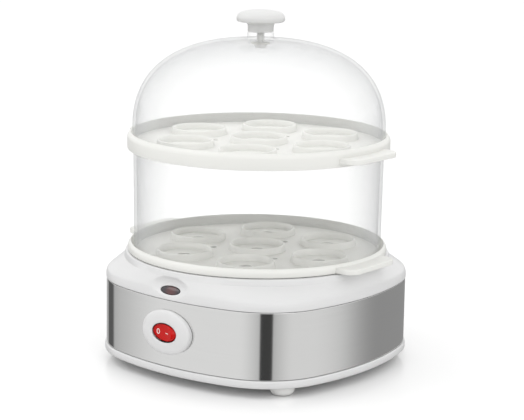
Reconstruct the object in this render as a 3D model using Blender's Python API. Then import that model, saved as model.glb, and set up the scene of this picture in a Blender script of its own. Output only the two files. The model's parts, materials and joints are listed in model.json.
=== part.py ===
# Two-tier electric egg cooker: a bulged square base with a heating dish, two trays,
# a clear steam ring between them and a clear domed lid with a knob.
# Sizes are in millimetres here and become metres in the meshes; +Z is up, the switch
# faces -Y and the origin is on the table, under the middle of the base.
import math

import bmesh
import bpy
from mathutils import Matrix, Vector

MM = 0.001

# Play between pieces that touch, and between pieces that lift off each other.
GAP = 0.3
LOOSE = 0.6

# Plan of the base: four bulged sides and four round corners.
HALF_WIDTH = 81.2
SIDE_BULGE_RADIUS = 158.7
CORNER_RADIUS = 46.6

# Heights of the base, from the table up.
FOOT_HEIGHT = 5.5
RIM_HEIGHT = 4.5
BAND_HEIGHT = 38.7
LIP_HEIGHT = 3.0
DECK_RISE = 9.4
COLLAR_HEIGHT = 3.6

# Walls of the base.
RIM_PROUD = 1.0
BAND_THICKNESS = 0.6
HOUSING_WALL = 2.2
SEAT_EASE = 0.2
DECK_INSIDE_RISE = 0.38
DECK_INSIDE_DROP = 1.1
PLATE_LIP_HEIGHT = 3.7
PLATE_LIP_WALL = 2.0
LIP_PROUD = 0.2
FLOOR_THICKNESS = 2.5

# Collar that the lower tray stands on, and the recess inside it.
COLLAR_INSET = 2.2
COLLAR_TAPER = 0.7
COLLAR_LEDGE = 2.7
RECESS_DEPTH = 4.5

# Heating dish, its flange, gasket and what hangs under it.
FLANGE_INSET = 10.6
FLANGE_WIDTH = 4.0
PLATE_THICKNESS = 1.0
GASKET_THICKNESS = 1.0
DISH_DEPTH = 8.1
HEATER_TUBE_RADIUS = 3.3
HEATER_RING_RADIUS = 38.0
HEATER_OPEN_ANGLE = 60.0
HEATER_BEND = 8.0
HEATER_LEG = 4.0
PIN_RADIUS = 1.2
PIN_LENGTH = 9.0
THERMOSTAT_RADIUS = 8.0
THERMOSTAT_HEIGHT = 10.7
STRAP_LENGTH = 92.0
STRAP_WIDTH = 24.0
STRAP_THICKNESS = 1.0
STUD_RADIUS = 2.0
STUD_SPACING = 48.0
STUD_LENGTH = 13.7
NUT_RADIUS = 4.2
NUT_HEIGHT = 3.2
FUSE_RADIUS = 2.0
FUSE_LENGTH = 12.0
FUSE_OFFSET = 20.0

# Spade terminals, wires and the terminal block.
BLADE_WIDTH = 5.0
BLADE_THICKNESS = 0.8
BLADE_LENGTH = 7.5
WIRE_RADIUS = 1.0
BLOCK_SIZE = (26.0, 14.0, 12.0)
BLOCK_SETBACK = 28.0

# Rocker switch: its red face is an oval that keeps its outline while it rocks,
# because its sides are turned about the pivot.
SWITCH_HEIGHT = 31.0
ROCKER_HALF_WIDTH = 8.2
ROCKER_HALF_HEIGHT = 4.9
ROCKER_FACE_DEPTH = 6.2
ROCKER_BACK_DEPTH = 2.0
ROCKER_HOLLOW = 0.7
ROCKER_HOLLOW_RADIUS = 30.0
ROCKER_TILT = 10.0
AXLE_RADIUS = 1.0
BEZEL_HALF_WIDTH = 17.6
BEZEL_HALF_HEIGHT = 12.9
BEZEL_PROUD = 3.4
BEZEL_EDGE = 1.3
SWITCH_BODY_SIDE = 2.0
SWITCH_BODY_DEPTH = 20.0
SWITCH_FLANGE = 2.0

# Indicator light, in a scoop in the front of the deck.
LENS_HALF_WIDTH = 7.1
LENS_HALF_HEIGHT = 2.5
LENS_THICKNESS = 2.6
LENS_RISE = 5.3
LENS_INSET = 2.6
LENS_TILT = 35.0
SCOOP_AXES = (15.0, 5.0, 6.5)
LAMP_RADIUS = 2.0
LAMP_LENGTH = 9.0
LAMP_SETBACK = 6.0

# Cord gland at the back.
GLAND_HEIGHT = 24.0
GLAND_BORE_RADIUS = 3.2
GLAND_NECK_RADIUS = 4.7
GLAND_FLANGE_RADIUS = 7.5
GLAND_PROUD = 5.8
GLAND_FLANGE_THICKNESS = 2.1
GLAND_DEPTH = 9.5
GLAND_NUT_RADIUS = 7.2

# Feet, screws and vents under the base.
FOOT_RADIUS = 7.2
FOOT_INSET = 8.9
FOOT_ANGLE = 41.0
FOOT_PEG_RADIUS = 2.7
POST_RADIUS = 3.4
SCREW_INSET = 19.2
SCREW_HEAD_RADIUS = 2.9
SCREW_HEAD_HEIGHT = 2.2
SCREW_SHANK_RADIUS = 1.4
SCREW_LENGTH = 16.0
PAD_RADIUS = 5.0
PAD_HEIGHT = 3.4
VENT_COUNT = 8
VENT_LENGTH = 16.0
VENT_WIDTH = 3.0
VENT_RING_RADIUS = 30.0

# Trays.
TRAY_WALL = 2.0
TRAY_FLOOR = 2.0
LOWER_RIM_HEIGHT = 5.1
LOWER_RIM_INSET = 2.2
UPPER_RIM_HEIGHT = 9.5
UPPER_RIM_INSET = 1.5
SHOULDER_DROP = 2.0
UPPER_FLOOR_RISE = 3.5
TRAY_INNER_INSET = 4.1
TAB_REACH = 7.0
TAB_HALF_LENGTH = 22.0
TAB_CORNER = 7.0
TAB_THICKNESS = 3.0
TAB_ROOT = 0.9
LOWER_TAB_RISE = 0.4
UPPER_TAB_RISE = 2.2
WELL_COUNT = 6
WELL_MARGIN = 12.1
WELL_RADIUS = 15.0
WELL_WALL = 1.8
WELL_HEIGHT = 3.8
WELL_HOLE_RADIUS = 4.0
STEAM_HOLE_RADIUS = 2.2

# Clear steam ring and lid.
CLEAR_WALL = 1.8
STEAM_RING_HEIGHT = 62.4
STEAM_RING_TAPER = 0.6
LID_SKIRT_HEIGHT = 5.5
DOME_HEIGHT = 55.1
DOME_EXPONENT = 2.5
BOSS_RADIUS = 7.9
BOSS_HEIGHT = 4.0
VENT_HOLE_RADIUS = 1.6
VENT_HOLE_OFFSET = 28.0
KNOB_NECK_RADIUS = 7.6
KNOB_CAP_RADIUS = 14.2
KNOB_NECK_HEIGHT = 5.6
KNOB_HEIGHT = 12.7
KNOB_SCREW_RADIUS = 2.0
KNOB_SCREW_HEAD_RADIUS = 4.0
WASHER_RADIUS = 5.5
WASHER_THICKNESS = 0.8

# Points round a lofted ring, and round a large turned piece, a small one and an egg well.
PLAN_POINTS = 48
LARGE_TURN = 36
SMALL_TURN = 16
WELL_TURN = 12

# Levels and radii that follow from the sizes above.
PLATE_BOTTOM = FOOT_HEIGHT + GAP
RIM_TOP = PLATE_BOTTOM + RIM_HEIGHT
BAND_BOTTOM = RIM_TOP + GAP
BAND_TOP = BAND_BOTTOM + BAND_HEIGHT
LIP_BOTTOM = BAND_TOP + GAP
DECK_EDGE = LIP_BOTTOM + LIP_HEIGHT
DECK_TOP = DECK_EDGE + DECK_RISE
COLLAR_TOP = DECK_TOP + COLLAR_HEIGHT
SEAT = COLLAR_TOP - RECESS_DEPTH
FLOOR_TOP = PLATE_BOTTOM + FLOOR_THICKNESS
SKIRT_OFFSET = -(BAND_THICKNESS + GAP)
INNER_OFFSET = SKIRT_OFFSET - HOUSING_WALL

COLLAR_RADIUS = HALF_WIDTH - COLLAR_INSET
COLLAR_OUTER = COLLAR_RADIUS - COLLAR_TAPER
COLLAR_INNER = COLLAR_OUTER - COLLAR_LEDGE
FLANGE_RADIUS = COLLAR_INNER - FLANGE_INSET
DISH_RADIUS = FLANGE_RADIUS - FLANGE_WIDTH
POCKET_DEPTH = PLATE_THICKNESS + GASKET_THICKNESS + 2 * GAP
DISH_FLOOR = SEAT - DISH_DEPTH
DISH_UNDERSIDE = DISH_FLOOR - PLATE_THICKNESS
HUNG_TOP = DISH_UNDERSIDE - GAP

TRAY_INNER_RADIUS = COLLAR_RADIUS - TRAY_INNER_INSET
WELL_RING_RADIUS = TRAY_INNER_RADIUS - WELL_MARGIN - WELL_WALL - WELL_RADIUS
STEAM_HOLE_RING_RADIUS = WELL_RING_RADIUS / math.sqrt(3)
LOWER_RIM_RADIUS = COLLAR_RADIUS - LOWER_RIM_INSET
UPPER_RIM_RADIUS = COLLAR_RADIUS - UPPER_RIM_INSET
LOWER_RIM_BOTTOM = COLLAR_TOP + GAP
LOWER_FLOOR = LOWER_RIM_BOTTOM - LOOSE
RING_RADIUS = TRAY_INNER_RADIUS - 2 * LOOSE + 0.2
RING_BOTTOM = LOWER_FLOOR + GAP
RING_TOP = RING_BOTTOM + STEAM_RING_HEIGHT
UPPER_FLOOR = RING_TOP + GAP + TRAY_FLOOR
UPPER_RIM_BOTTOM = UPPER_FLOOR - UPPER_FLOOR_RISE
LID_RADIUS = TRAY_INNER_RADIUS - GAP
LID_BOTTOM = UPPER_FLOOR + GAP
DOME_BASE = LID_BOTTOM + LID_SKIRT_HEIGHT
DOME_TOP = DOME_BASE + DOME_HEIGHT
BOSS_TOP = DOME_TOP + BOSS_HEIGHT
KNOB_BOTTOM = BOSS_TOP + GAP

PIVOT_Y = -(HALF_WIDTH + BEZEL_PROUD - ROCKER_FACE_DEPTH)
ROCKER_RADIUS = math.hypot(ROCKER_HALF_WIDTH, ROCKER_FACE_DEPTH)
ALONG_Y = Matrix.Rotation(math.radians(-90.0), 4, "X")


def hex_to_linear(code):
    channels = [int(code[i:i + 2], 16) / 255.0 for i in (0, 2, 4)]
    return [c / 12.92 if c <= 0.04045 else ((c + 0.055) / 1.055) ** 2.4 for c in channels]


def make_material(name, code, roughness, metallic=0.0, transmission=0.0):
    material = bpy.data.materials.new(name)
    material.use_nodes = True
    shader = material.node_tree.nodes["Principled BSDF"]
    shader.inputs["Base Color"].default_value = (*hex_to_linear(code), 1.0)
    shader.inputs["Roughness"].default_value = roughness
    shader.inputs["Metallic"].default_value = metallic
    shader.inputs["Transmission Weight"].default_value = transmission
    material.diffuse_color = (*hex_to_linear(code), 1.0)
    return material


def clear_scene():
    for obj in list(bpy.data.objects):
        bpy.data.objects.remove(obj, do_unlink=True)


def add_object(name, bm, material):
    mesh = bpy.data.meshes.new(name)
    bm.to_mesh(mesh)
    bm.free()
    mesh.shade_smooth()
    mesh.set_sharp_from_angle(angle=math.radians(35.0))
    mesh.materials.append(material)
    obj = bpy.data.objects.new(name, mesh)
    bpy.context.scene.collection.objects.link(obj)
    return obj


def place(obj, location, rotation=None):
    turn = rotation if rotation is not None else Matrix.Identity(4)
    obj.matrix_world = Matrix.Translation(Vector(location) * MM) @ turn
    return obj


def boolean(obj, tool, operation):
    tool.hide_render = True
    tool.display_type = "WIRE"
    modifier = obj.modifiers.new(operation.lower(), "BOOLEAN")
    modifier.operation = operation
    modifier.object = tool
    modifier.solver = "EXACT"


def cut(obj, tool):
    boolean(obj, tool, "DIFFERENCE")


def fuse(obj, tool):
    boolean(obj, tool, "UNION")


def turned_mesh(profile, steps):
    # profile is (radius, height) points; it closes on the axis or on itself.
    bm = bmesh.new()
    verts = [bm.verts.new((radius * MM, 0.0, height * MM)) for radius, height in profile]
    edges = [bm.edges.new(pair) for pair in zip(verts, verts[1:])]
    if profile[0][0] > 0.0:
        edges.append(bm.edges.new((verts[-1], verts[0])))
    bmesh.ops.spin(bm, geom=verts + edges, cent=(0, 0, 0), axis=(0, 0, 1),
                   angle=math.tau, steps=steps, use_merge=True)
    bmesh.ops.remove_doubles(bm, verts=bm.verts, dist=0.000001)
    bmesh.ops.recalc_face_normals(bm, faces=bm.faces)
    return bm


def lofted_mesh(rings, closed=False):
    # rings are equal-length loops of points; an open loft gets flat end caps.
    bm = bmesh.new()
    loops = [[bm.verts.new(Vector(point) * MM) for point in ring] for ring in rings]
    pairs = list(zip(loops, loops[1:]))
    if closed:
        pairs.append((loops[-1], loops[0]))
    else:
        bm.faces.new(loops[0])
        bm.faces.new(loops[-1])
    for first, second in pairs:
        for i in range(len(first)):
            bm.faces.new((first[i - 1], first[i], second[i], second[i - 1]))
    bmesh.ops.recalc_face_normals(bm, faces=bm.faces)
    return bm


def rods_mesh(places, radius, low, high, sides=SMALL_TURN, bm=None):
    # One upright cylinder at each (x, y) place, added to bm if there is one.
    bm = bm or bmesh.new()
    for x, y in places:
        centre = Matrix.Translation(Vector((x, y, (low + high) / 2)) * MM)
        bmesh.ops.create_cone(bm, cap_ends=True, segments=sides, radius1=radius * MM,
                              radius2=radius * MM, depth=(high - low) * MM, matrix=centre)
    return bm


def box_mesh(size, centre):
    bm = bmesh.new()
    shape = Matrix.Translation(Vector(centre) * MM) @ Matrix.Diagonal((*[s * MM for s in size], 1.0))
    bmesh.ops.create_cube(bm, size=1.0, matrix=shape)
    return bm


def polar(radius, degrees):
    angle = math.radians(degrees)
    return (radius * math.cos(angle), radius * math.sin(angle))


def ring_of_places(radius, count, first=0.0):
    return [polar(radius, first + 360.0 * i / count) for i in range(count)]


def corner_places(radius, degrees):
    return [polar(radius, angle) for angle in (degrees, 180 - degrees, 180 + degrees, -degrees)]


def corner_centre():
    # Where a corner arc's centre lies so that it runs smoothly into both side arcs.
    side = HALF_WIDTH - SIDE_BULGE_RADIUS
    reach = SIDE_BULGE_RADIUS - CORNER_RADIUS
    return (side + math.sqrt(2 * reach ** 2 - side ** 2)) / 2


def plan_radius(angle):
    # Distance from the axis to the plan's outline, in the direction angle.
    folded = abs((angle + math.pi / 4) % (math.pi / 2) - math.pi / 4)
    centre = corner_centre()
    side = HALF_WIDTH - SIDE_BULGE_RADIUS
    meeting = math.atan2(centre, centre - side)
    point = (side + SIDE_BULGE_RADIUS * math.cos(meeting), SIDE_BULGE_RADIUS * math.sin(meeting))
    if folded <= math.atan2(point[1], point[0]):
        return side * math.cos(folded) + math.sqrt(
            SIDE_BULGE_RADIUS ** 2 - (side * math.sin(folded)) ** 2)
    along = centre * (math.cos(folded) + math.sin(folded))
    return along + math.sqrt(along ** 2 - 2 * centre ** 2 + CORNER_RADIUS ** 2)


def plan_ring(offset, height, round_radius=0.0, share=0.0):
    # The plan's outline moved out by offset, and share of the way to a circle.
    ring = []
    for i in range(PLAN_POINTS):
        angle = math.tau * i / PLAN_POINTS
        radius = (plan_radius(angle) + offset) * (1 - share) + round_radius * share
        ring.append((radius * math.cos(angle), radius * math.sin(angle), height))
    return ring


def round_ring(radius, height):
    return plan_ring(0.0, height, radius, 1.0)


def oval_ring(half_width, half_height, y, centre_z, count=28):
    steps = [math.tau * i / count for i in range(count)]
    return [(half_width * math.cos(a), y, centre_z + half_height * math.sin(a)) for a in steps]


def smooth_route(points, steps=3):
    # A Hermite curve through the points, straight off both ends.
    spots = [Vector(p) for p in points]
    heads = [(b - a).normalized() for a, b in zip(spots, spots[1:])]
    heads = [heads[0]] + [(a + b).normalized() for a, b in zip(heads, heads[1:])] + [heads[-1]]
    route = []
    for i in range(len(spots) - 1):
        start, end = spots[i], spots[i + 1]
        reach = (end - start).length
        for k in range(steps):
            t = k / steps
            route.append(start * (2 * t ** 3 - 3 * t ** 2 + 1) + end * (3 * t ** 2 - 2 * t ** 3)
                         + heads[i] * reach * (t ** 3 - 2 * t ** 2 + t)
                         + heads[i + 1] * reach * (t ** 3 - t ** 2))
    route.append(spots[-1])
    return route


def tube(name, points, radius, material, resolution=2):
    curve = bpy.data.curves.new(name, "CURVE")
    curve.dimensions = "3D"
    curve.bevel_depth = radius * MM
    curve.bevel_resolution = resolution
    curve.use_fill_caps = True
    spline = curve.splines.new("POLY")
    spline.points.add(len(points) - 1)
    for spot, point in zip(spline.points, points):
        spot.co = (*(Vector(point) * MM), 1.0)
    curve.materials.append(material)
    obj = bpy.data.objects.new(name, curve)
    bpy.context.scene.collection.objects.link(obj)
    return obj


def make_upper_housing(white):
    under_seat = SEAT - HOUSING_WALL + SEAT_EASE
    pocket = SEAT - POCKET_DEPTH
    under_pocket = pocket - HOUSING_WALL + SEAT_EASE
    pocket_radius = FLANGE_RADIUS + GAP
    opening = DISH_RADIUS + GAP
    rings = [
        plan_ring(SKIRT_OFFSET, BAND_BOTTOM),
        plan_ring(SKIRT_OFFSET, LIP_BOTTOM),
        plan_ring(LIP_PROUD, LIP_BOTTOM),
        plan_ring(LIP_PROUD, DECK_EDGE),
    ]
    # The edge rounds over, then the deck runs up to the round collar.
    for share, rise in ((0.05, 0.2), (0.14, 0.34), (0.3, 0.48), (0.6, 0.72)):
        rings.append(plan_ring(LIP_PROUD, DECK_EDGE + rise * DECK_RISE, COLLAR_RADIUS, share))
    rings += [
        round_ring(COLLAR_RADIUS, DECK_TOP),
        round_ring(COLLAR_OUTER, COLLAR_TOP),
        round_ring(COLLAR_INNER, COLLAR_TOP),
        round_ring(COLLAR_INNER, SEAT),
        round_ring(pocket_radius, SEAT),
        round_ring(pocket_radius, pocket),
        round_ring(opening, pocket),
        round_ring(opening, under_pocket),
        round_ring(pocket_radius + HOUSING_WALL, under_pocket),
        round_ring(pocket_radius + HOUSING_WALL, under_seat),
        round_ring(COLLAR_INNER - 1.0, under_seat),
        plan_ring(INNER_OFFSET, DECK_EDGE + DECK_INSIDE_RISE * DECK_RISE, COLLAR_INNER, 0.5),
        plan_ring(INNER_OFFSET, DECK_EDGE - DECK_INSIDE_DROP),
        plan_ring(INNER_OFFSET, BAND_BOTTOM),
    ]
    housing = add_object("upper_housing", lofted_mesh(rings, closed=True), white)
    posts = rods_mesh(screw_places(), POST_RADIUS, FLOOR_TOP + PAD_HEIGHT + GAP, SEAT - 1.0)
    fuse(housing, add_object("post_guide", posts, white))
    pilot_top = FLOOR_TOP + SCREW_LENGTH + GAP
    pilots = rods_mesh(screw_places(), SCREW_SHANK_RADIUS + GAP, 0.0, pilot_top, 8)
    cut(housing, add_object("pilot_cutter", pilots, white))
    cut(housing, make_scoop_cutter(white))
    return housing


def screw_places():
    return corner_places(plan_radius(math.pi / 4) - SCREW_INSET, 45.0)


def foot_places():
    angle = math.radians(FOOT_ANGLE)
    return corner_places(plan_radius(angle) - FOOT_INSET, FOOT_ANGLE)


def lens_frame():
    # Placement of the light: local -Y points out of the lens, tilted upwards.
    centre = Vector((0.0, -(HALF_WIDTH - LENS_INSET), BAND_TOP + LENS_RISE)) * MM
    return Matrix.Translation(centre) @ Matrix.Rotation(math.radians(-LENS_TILT), 4, "X")


def make_scoop_cutter(white):
    bm = bmesh.new()
    bmesh.ops.create_uvsphere(bm, u_segments=24, v_segments=12, radius=1.0)
    across, deep, tall = SCOOP_AXES
    bmesh.ops.scale(bm, vec=Vector((across, deep, tall)) * MM, verts=bm.verts)
    bmesh.ops.translate(bm, vec=Vector((0.0, -deep, 0.0)) * MM, verts=bm.verts)
    scoop = add_object("scoop_cutter", bm, white)
    scoop.matrix_world = lens_frame()
    return scoop


def make_light(dark, amber, housing):
    slot = lofted_mesh([oval_ring(LENS_HALF_WIDTH + GAP, LENS_HALF_HEIGHT + GAP, y, 0.0, 24)
                        for y in (12.0, -6.0)])
    slot_cutter = add_object("lens_slot_cutter", slot, dark)
    slot_cutter.matrix_world = lens_frame()
    cut(housing, slot_cutter)
    rings = [oval_ring(LENS_HALF_WIDTH, LENS_HALF_HEIGHT, y, 0.0, 24) for y in (LENS_THICKNESS, -0.2)]
    rings.append(oval_ring(LENS_HALF_WIDTH - 0.6, LENS_HALF_HEIGHT - 0.6, -0.7, 0.0, 24))
    lens = add_object("indicator_lens", lofted_mesh(rings), dark)
    lens.matrix_world = lens_frame()
    round_end = 0.7 * LAMP_RADIUS
    half = LAMP_LENGTH / 2
    profile = [(0.0, half), (round_end, half - 0.6), (LAMP_RADIUS, half - 1.6),
               (LAMP_RADIUS, 1.6 - half), (round_end, 0.6 - half), (0.0, -half)]
    lamp = add_object("indicator_lamp", turned_mesh(profile, 12), amber)
    behind = Matrix.Translation(Vector((0.0, LAMP_SETBACK, 0.0)) * MM)
    lamp.matrix_world = lens_frame() @ behind @ Matrix.Rotation(math.pi / 2, 4, "Y")


def make_steel_band(steel):
    rings = [plan_ring(offset, height) for offset, height in (
        (-BAND_THICKNESS, BAND_BOTTOM), (0.0, BAND_BOTTOM), (0.0, BAND_TOP), (-BAND_THICKNESS, BAND_TOP))]
    return add_object("steel_band", lofted_mesh(rings, closed=True), steel)


def make_bottom_plate(white):
    lip = INNER_OFFSET - GAP
    rings = [plan_ring(offset, height) for offset, height in (
        (LIP_PROUD, PLATE_BOTTOM), (RIM_PROUD, PLATE_BOTTOM + 1.0), (RIM_PROUD, RIM_TOP - 0.4),
        (RIM_PROUD - 0.4, RIM_TOP), (lip, RIM_TOP), (lip, RIM_TOP + PLATE_LIP_HEIGHT),
        (lip - PLATE_LIP_WALL, RIM_TOP + PLATE_LIP_HEIGHT), (lip - PLATE_LIP_WALL, FLOOR_TOP))]
    plate = add_object("bottom_plate", lofted_mesh(rings), white)
    pads = rods_mesh(screw_places(), PAD_RADIUS, FLOOR_TOP - 1.0, FLOOR_TOP + PAD_HEIGHT)
    fuse(plate, add_object("pad_guide", pads, white))
    holes = rods_mesh(screw_places(), SCREW_SHANK_RADIUS + GAP, 0.0, 3 * FLOOR_TOP, 8)
    cut(plate, add_object("screw_hole_cutter", holes, white))
    recess_top = PLATE_BOTTOM + SCREW_HEAD_HEIGHT + 2 * GAP
    recesses = rods_mesh(screw_places(), SCREW_HEAD_RADIUS + GAP, 0.0, recess_top, 12)
    cut(plate, add_object("screw_recess_cutter", recesses, white))
    pegs = rods_mesh(foot_places(), FOOT_PEG_RADIUS + GAP, 0.0, 2 * FLOOR_TOP, 12)
    cut(plate, add_object("foot_peg_cutter", pegs, white))
    cut(plate, make_vent_cutter(white))
    return plate


def make_vent_cutter(white):
    bm = bmesh.new()
    for i in range(VENT_COUNT):
        turn = Matrix.Rotation(math.tau * (i + 0.5) / VENT_COUNT, 4, "Z")
        out = Matrix.Translation(Vector((VENT_RING_RADIUS, 0.0, FLOOR_TOP)) * MM)
        size = Matrix.Diagonal((VENT_LENGTH * MM, VENT_WIDTH * MM, 4 * FLOOR_THICKNESS * MM, 1.0))
        bmesh.ops.create_cube(bm, size=1.0, matrix=turn @ out @ size)
    return add_object("vent_cutter", bm, white)


def make_feet(rubber):
    profile = [(0.0, 0.0), (0.6 * FOOT_RADIUS, 0.0), (0.9 * FOOT_RADIUS, 0.9), (FOOT_RADIUS, 2.6),
               (FOOT_RADIUS, FOOT_HEIGHT), (FOOT_PEG_RADIUS, FOOT_HEIGHT),
               (FOOT_PEG_RADIUS, FLOOR_TOP - GAP), (0.0, FLOOR_TOP - GAP)]
    names = ("foot_back_right", "foot_back_left", "foot_front_left", "foot_front_right")
    for name, (x, y) in zip(names, foot_places()):
        place(add_object(name, turned_mesh(profile, 12), rubber), (x, y, 0.0))


def make_housing_screws(zinc):
    head_low = PLATE_BOTTOM + GAP
    head_high = head_low + SCREW_HEAD_HEIGHT
    tip = FLOOR_TOP + SCREW_LENGTH
    profile = [(0.0, head_low), (SCREW_HEAD_RADIUS - 0.5, head_low), (SCREW_HEAD_RADIUS, head_low + 0.6),
               (SCREW_HEAD_RADIUS, head_high), (SCREW_SHANK_RADIUS, head_high),
               (SCREW_SHANK_RADIUS, tip - 1.2), (0.0, tip)]
    names = ("screw_back_right", "screw_back_left", "screw_front_left", "screw_front_right")
    for name, (x, y) in zip(names, screw_places()):
        place(add_object(name, turned_mesh(profile, 8), zinc), (x, y, 0.0))


def make_heating_plate(steel, silicone):
    wall = PLATE_THICKNESS
    outer = DISH_RADIUS - 0.7
    profile = [(0.0, DISH_FLOOR), (outer - 9.0, DISH_FLOOR), (outer - 3.0, DISH_FLOOR + 1.4),
               (outer - wall, DISH_FLOOR + 4.0), (outer - wall + 0.2, SEAT), (FLANGE_RADIUS, SEAT),
               (FLANGE_RADIUS, SEAT - wall), (outer, SEAT - wall), (outer, DISH_FLOOR + 3.4),
               (outer - 2.4, DISH_FLOOR + 0.5), (outer - 8.8, DISH_UNDERSIDE), (0.0, DISH_UNDERSIDE)]
    add_object("heating_plate", turned_mesh(profile, LARGE_TURN), steel)
    top = SEAT - PLATE_THICKNESS - GAP
    low = top - GASKET_THICKNESS
    inner = DISH_RADIUS + GAP
    rubber = [(inner, low), (FLANGE_RADIUS, low), (FLANGE_RADIUS, top), (inner, top)]
    add_object("plate_gasket", turned_mesh(rubber, LARGE_TURN), silicone)


def heater_route():
    # A ring open at the back whose two ends bend down.
    level = HUNG_TOP - HEATER_TUBE_RADIUS
    half = HEATER_OPEN_ANGLE / 2
    ring = []
    for i in range(25):
        degrees = 90 + half + (360 - HEATER_OPEN_ANGLE) * i / 24
        ring.append(Vector((*polar(HEATER_RING_RADIUS, degrees), level)))
    right = []
    x, y = polar(HEATER_RING_RADIUS, 90 - half)
    along = Vector((-math.cos(math.radians(half)), math.sin(math.radians(half)), 0.0))
    for i in range(1, 5):
        bend = math.radians(90 * i / 4)
        right.append(Vector((x, y, level)) + along * HEATER_BEND * math.sin(bend)
                     - Vector((0, 0, HEATER_BEND * (1 - math.cos(bend)))))
    right.append(right[-1] - Vector((0, 0, HEATER_LEG)))
    left = [Vector((-p.x, p.y, p.z)) for p in reversed(right)]
    return left + ring + right


def make_heater(steel, zinc):
    route = heater_route()
    tube("heating_element", route, HEATER_TUBE_RADIUS, steel, 2)
    profile = [(0.0, 0.0), (PIN_RADIUS, 0.0), (PIN_RADIUS, -PIN_LENGTH), (0.0, -PIN_LENGTH)]
    for name, end in (("heater_pin_left", route[0]), ("heater_pin_right", route[-1])):
        pin = add_object(name, turned_mesh(profile, 8), zinc)
        place(pin, (end.x, end.y, end.z - GAP))


def make_thermostat(bakelite, brass):
    low = HUNG_TOP - THERMOSTAT_HEIGHT
    edge = THERMOSTAT_RADIUS
    profile = [(0.0, HUNG_TOP), (edge, HUNG_TOP), (edge, low + 1.0), (edge - 1.0, low), (0.0, low)]
    add_object("thermostat", turned_mesh(profile, SMALL_TURN), bakelite)
    for name, side in (("thermostat_blade_left", -1), ("thermostat_blade_right", 1)):
        centre = (side * edge * 0.55, 0.0, low - GAP - BLADE_LENGTH / 2)
        blade = box_mesh((BLADE_THICKNESS, BLADE_WIDTH, BLADE_LENGTH), (0, 0, 0))
        place(add_object(name, blade, brass), centre)


def make_strap(zinc):
    top = HUNG_TOP - 2 * HEATER_TUBE_RADIUS - GAP
    low = top - STRAP_THICKNESS
    strap = add_object("clamp_strap", box_mesh((STRAP_LENGTH, STRAP_WIDTH, STRAP_THICKNESS),
                                               (0.0, 0.0, (top + low) / 2)), zinc)
    studs = [(side * STUD_SPACING / 2, 0.0) for side in (-1, 1)]
    round_hole = rods_mesh([(0.0, 0.0)], THERMOSTAT_RADIUS + GAP, low - 3, top + 3)
    cut(strap, add_object("thermostat_hole_cutter", round_hole, zinc))
    stud_holes = rods_mesh(studs, STUD_RADIUS + GAP, low - 3, top + 3, 12)
    cut(strap, add_object("stud_hole_cutter", stud_holes, zinc))
    nut_top = low - GAP
    nut_low = nut_top - NUT_HEIGHT
    for name, place_xy in zip(("left", "right"), studs):
        stud = rods_mesh([(0.0, 0.0)], STUD_RADIUS, HUNG_TOP - STUD_LENGTH, HUNG_TOP, 12)
        place(add_object("clamp_stud_" + name, stud, zinc), (*place_xy, 0.0))
        hexagon = [[(*polar(radius, 60 * i), height) for i in range(6)] for radius, height in (
            (STUD_RADIUS + 2 * GAP, nut_low), (NUT_RADIUS, nut_low),
            (NUT_RADIUS, nut_top), (STUD_RADIUS + 2 * GAP, nut_top))]
        place(add_object("clamp_nut_" + name, lofted_mesh(hexagon, closed=True), zinc), (*place_xy, 0.0))


def make_fuse(bakelite):
    half = FUSE_LENGTH / 2
    profile = [(0.0, half), (FUSE_RADIUS, half), (FUSE_RADIUS, -half), (0.0, -half)]
    body = add_object("thermal_fuse", turned_mesh(profile, 12), bakelite)
    place(body, (0.0, -FUSE_OFFSET, HUNG_TOP - FUSE_RADIUS), Matrix.Rotation(math.pi / 2, 4, "Y"))


def barrel_mesh(grow):
    # The rocker's body before its face and back are cut, grown by a clearance.
    rows = 8
    height = ROCKER_HALF_HEIGHT + grow
    profile = [(0.0, -height)]
    for i in range(rows + 1):
        z = -ROCKER_HALF_HEIGHT + 2 * ROCKER_HALF_HEIGHT * i / rows
        across = ROCKER_HALF_WIDTH * math.sqrt(max(0.0, 1 - (z / ROCKER_HALF_HEIGHT) ** 2))
        stretched = z * height / ROCKER_HALF_HEIGHT
        profile.append((math.hypot(across, ROCKER_FACE_DEPTH) + grow, stretched))
    profile.append((0.0, height))
    return turned_mesh(profile, 28)


def make_rocker(red):
    # The empty stands on the pivot; the rocker rests tipped to its off side.
    pivot = bpy.data.objects.new("rocker_pivot", None)
    bpy.context.scene.collection.objects.link(pivot)
    pivot.location = Vector((0.0, PIVOT_Y, SWITCH_HEIGHT)) * MM
    pivot.rotation_euler = (0.0, 0.0, math.radians(-ROCKER_TILT))
    rocker = add_object("switch_rocker", barrel_mesh(0.0), red)
    reach = ROCKER_FACE_DEPTH - ROCKER_HOLLOW + ROCKER_HOLLOW_RADIUS
    hollow = rods_mesh([(0.0, -reach)], ROCKER_HOLLOW_RADIUS, -20.0, 20.0, 48)
    hollow_cutter = add_object("rocker_face_cutter", hollow, red)
    back = box_mesh((60.0, 30.0, 40.0), (0.0, 15.0 + ROCKER_BACK_DEPTH, 0.0))
    back_cutter = add_object("rocker_back_cutter", back, red)
    axle_hole = rods_mesh([(0.0, 0.0)], AXLE_RADIUS + GAP, -20.0, 20.0, 12)
    axle_cutter = add_object("rocker_axle_cutter", axle_hole, red)
    for tool in (hollow_cutter, back_cutter, axle_cutter):
        cut(rocker, tool)
    for obj in (rocker, hollow_cutter, back_cutter, axle_cutter):
        obj.parent = pivot


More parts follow.
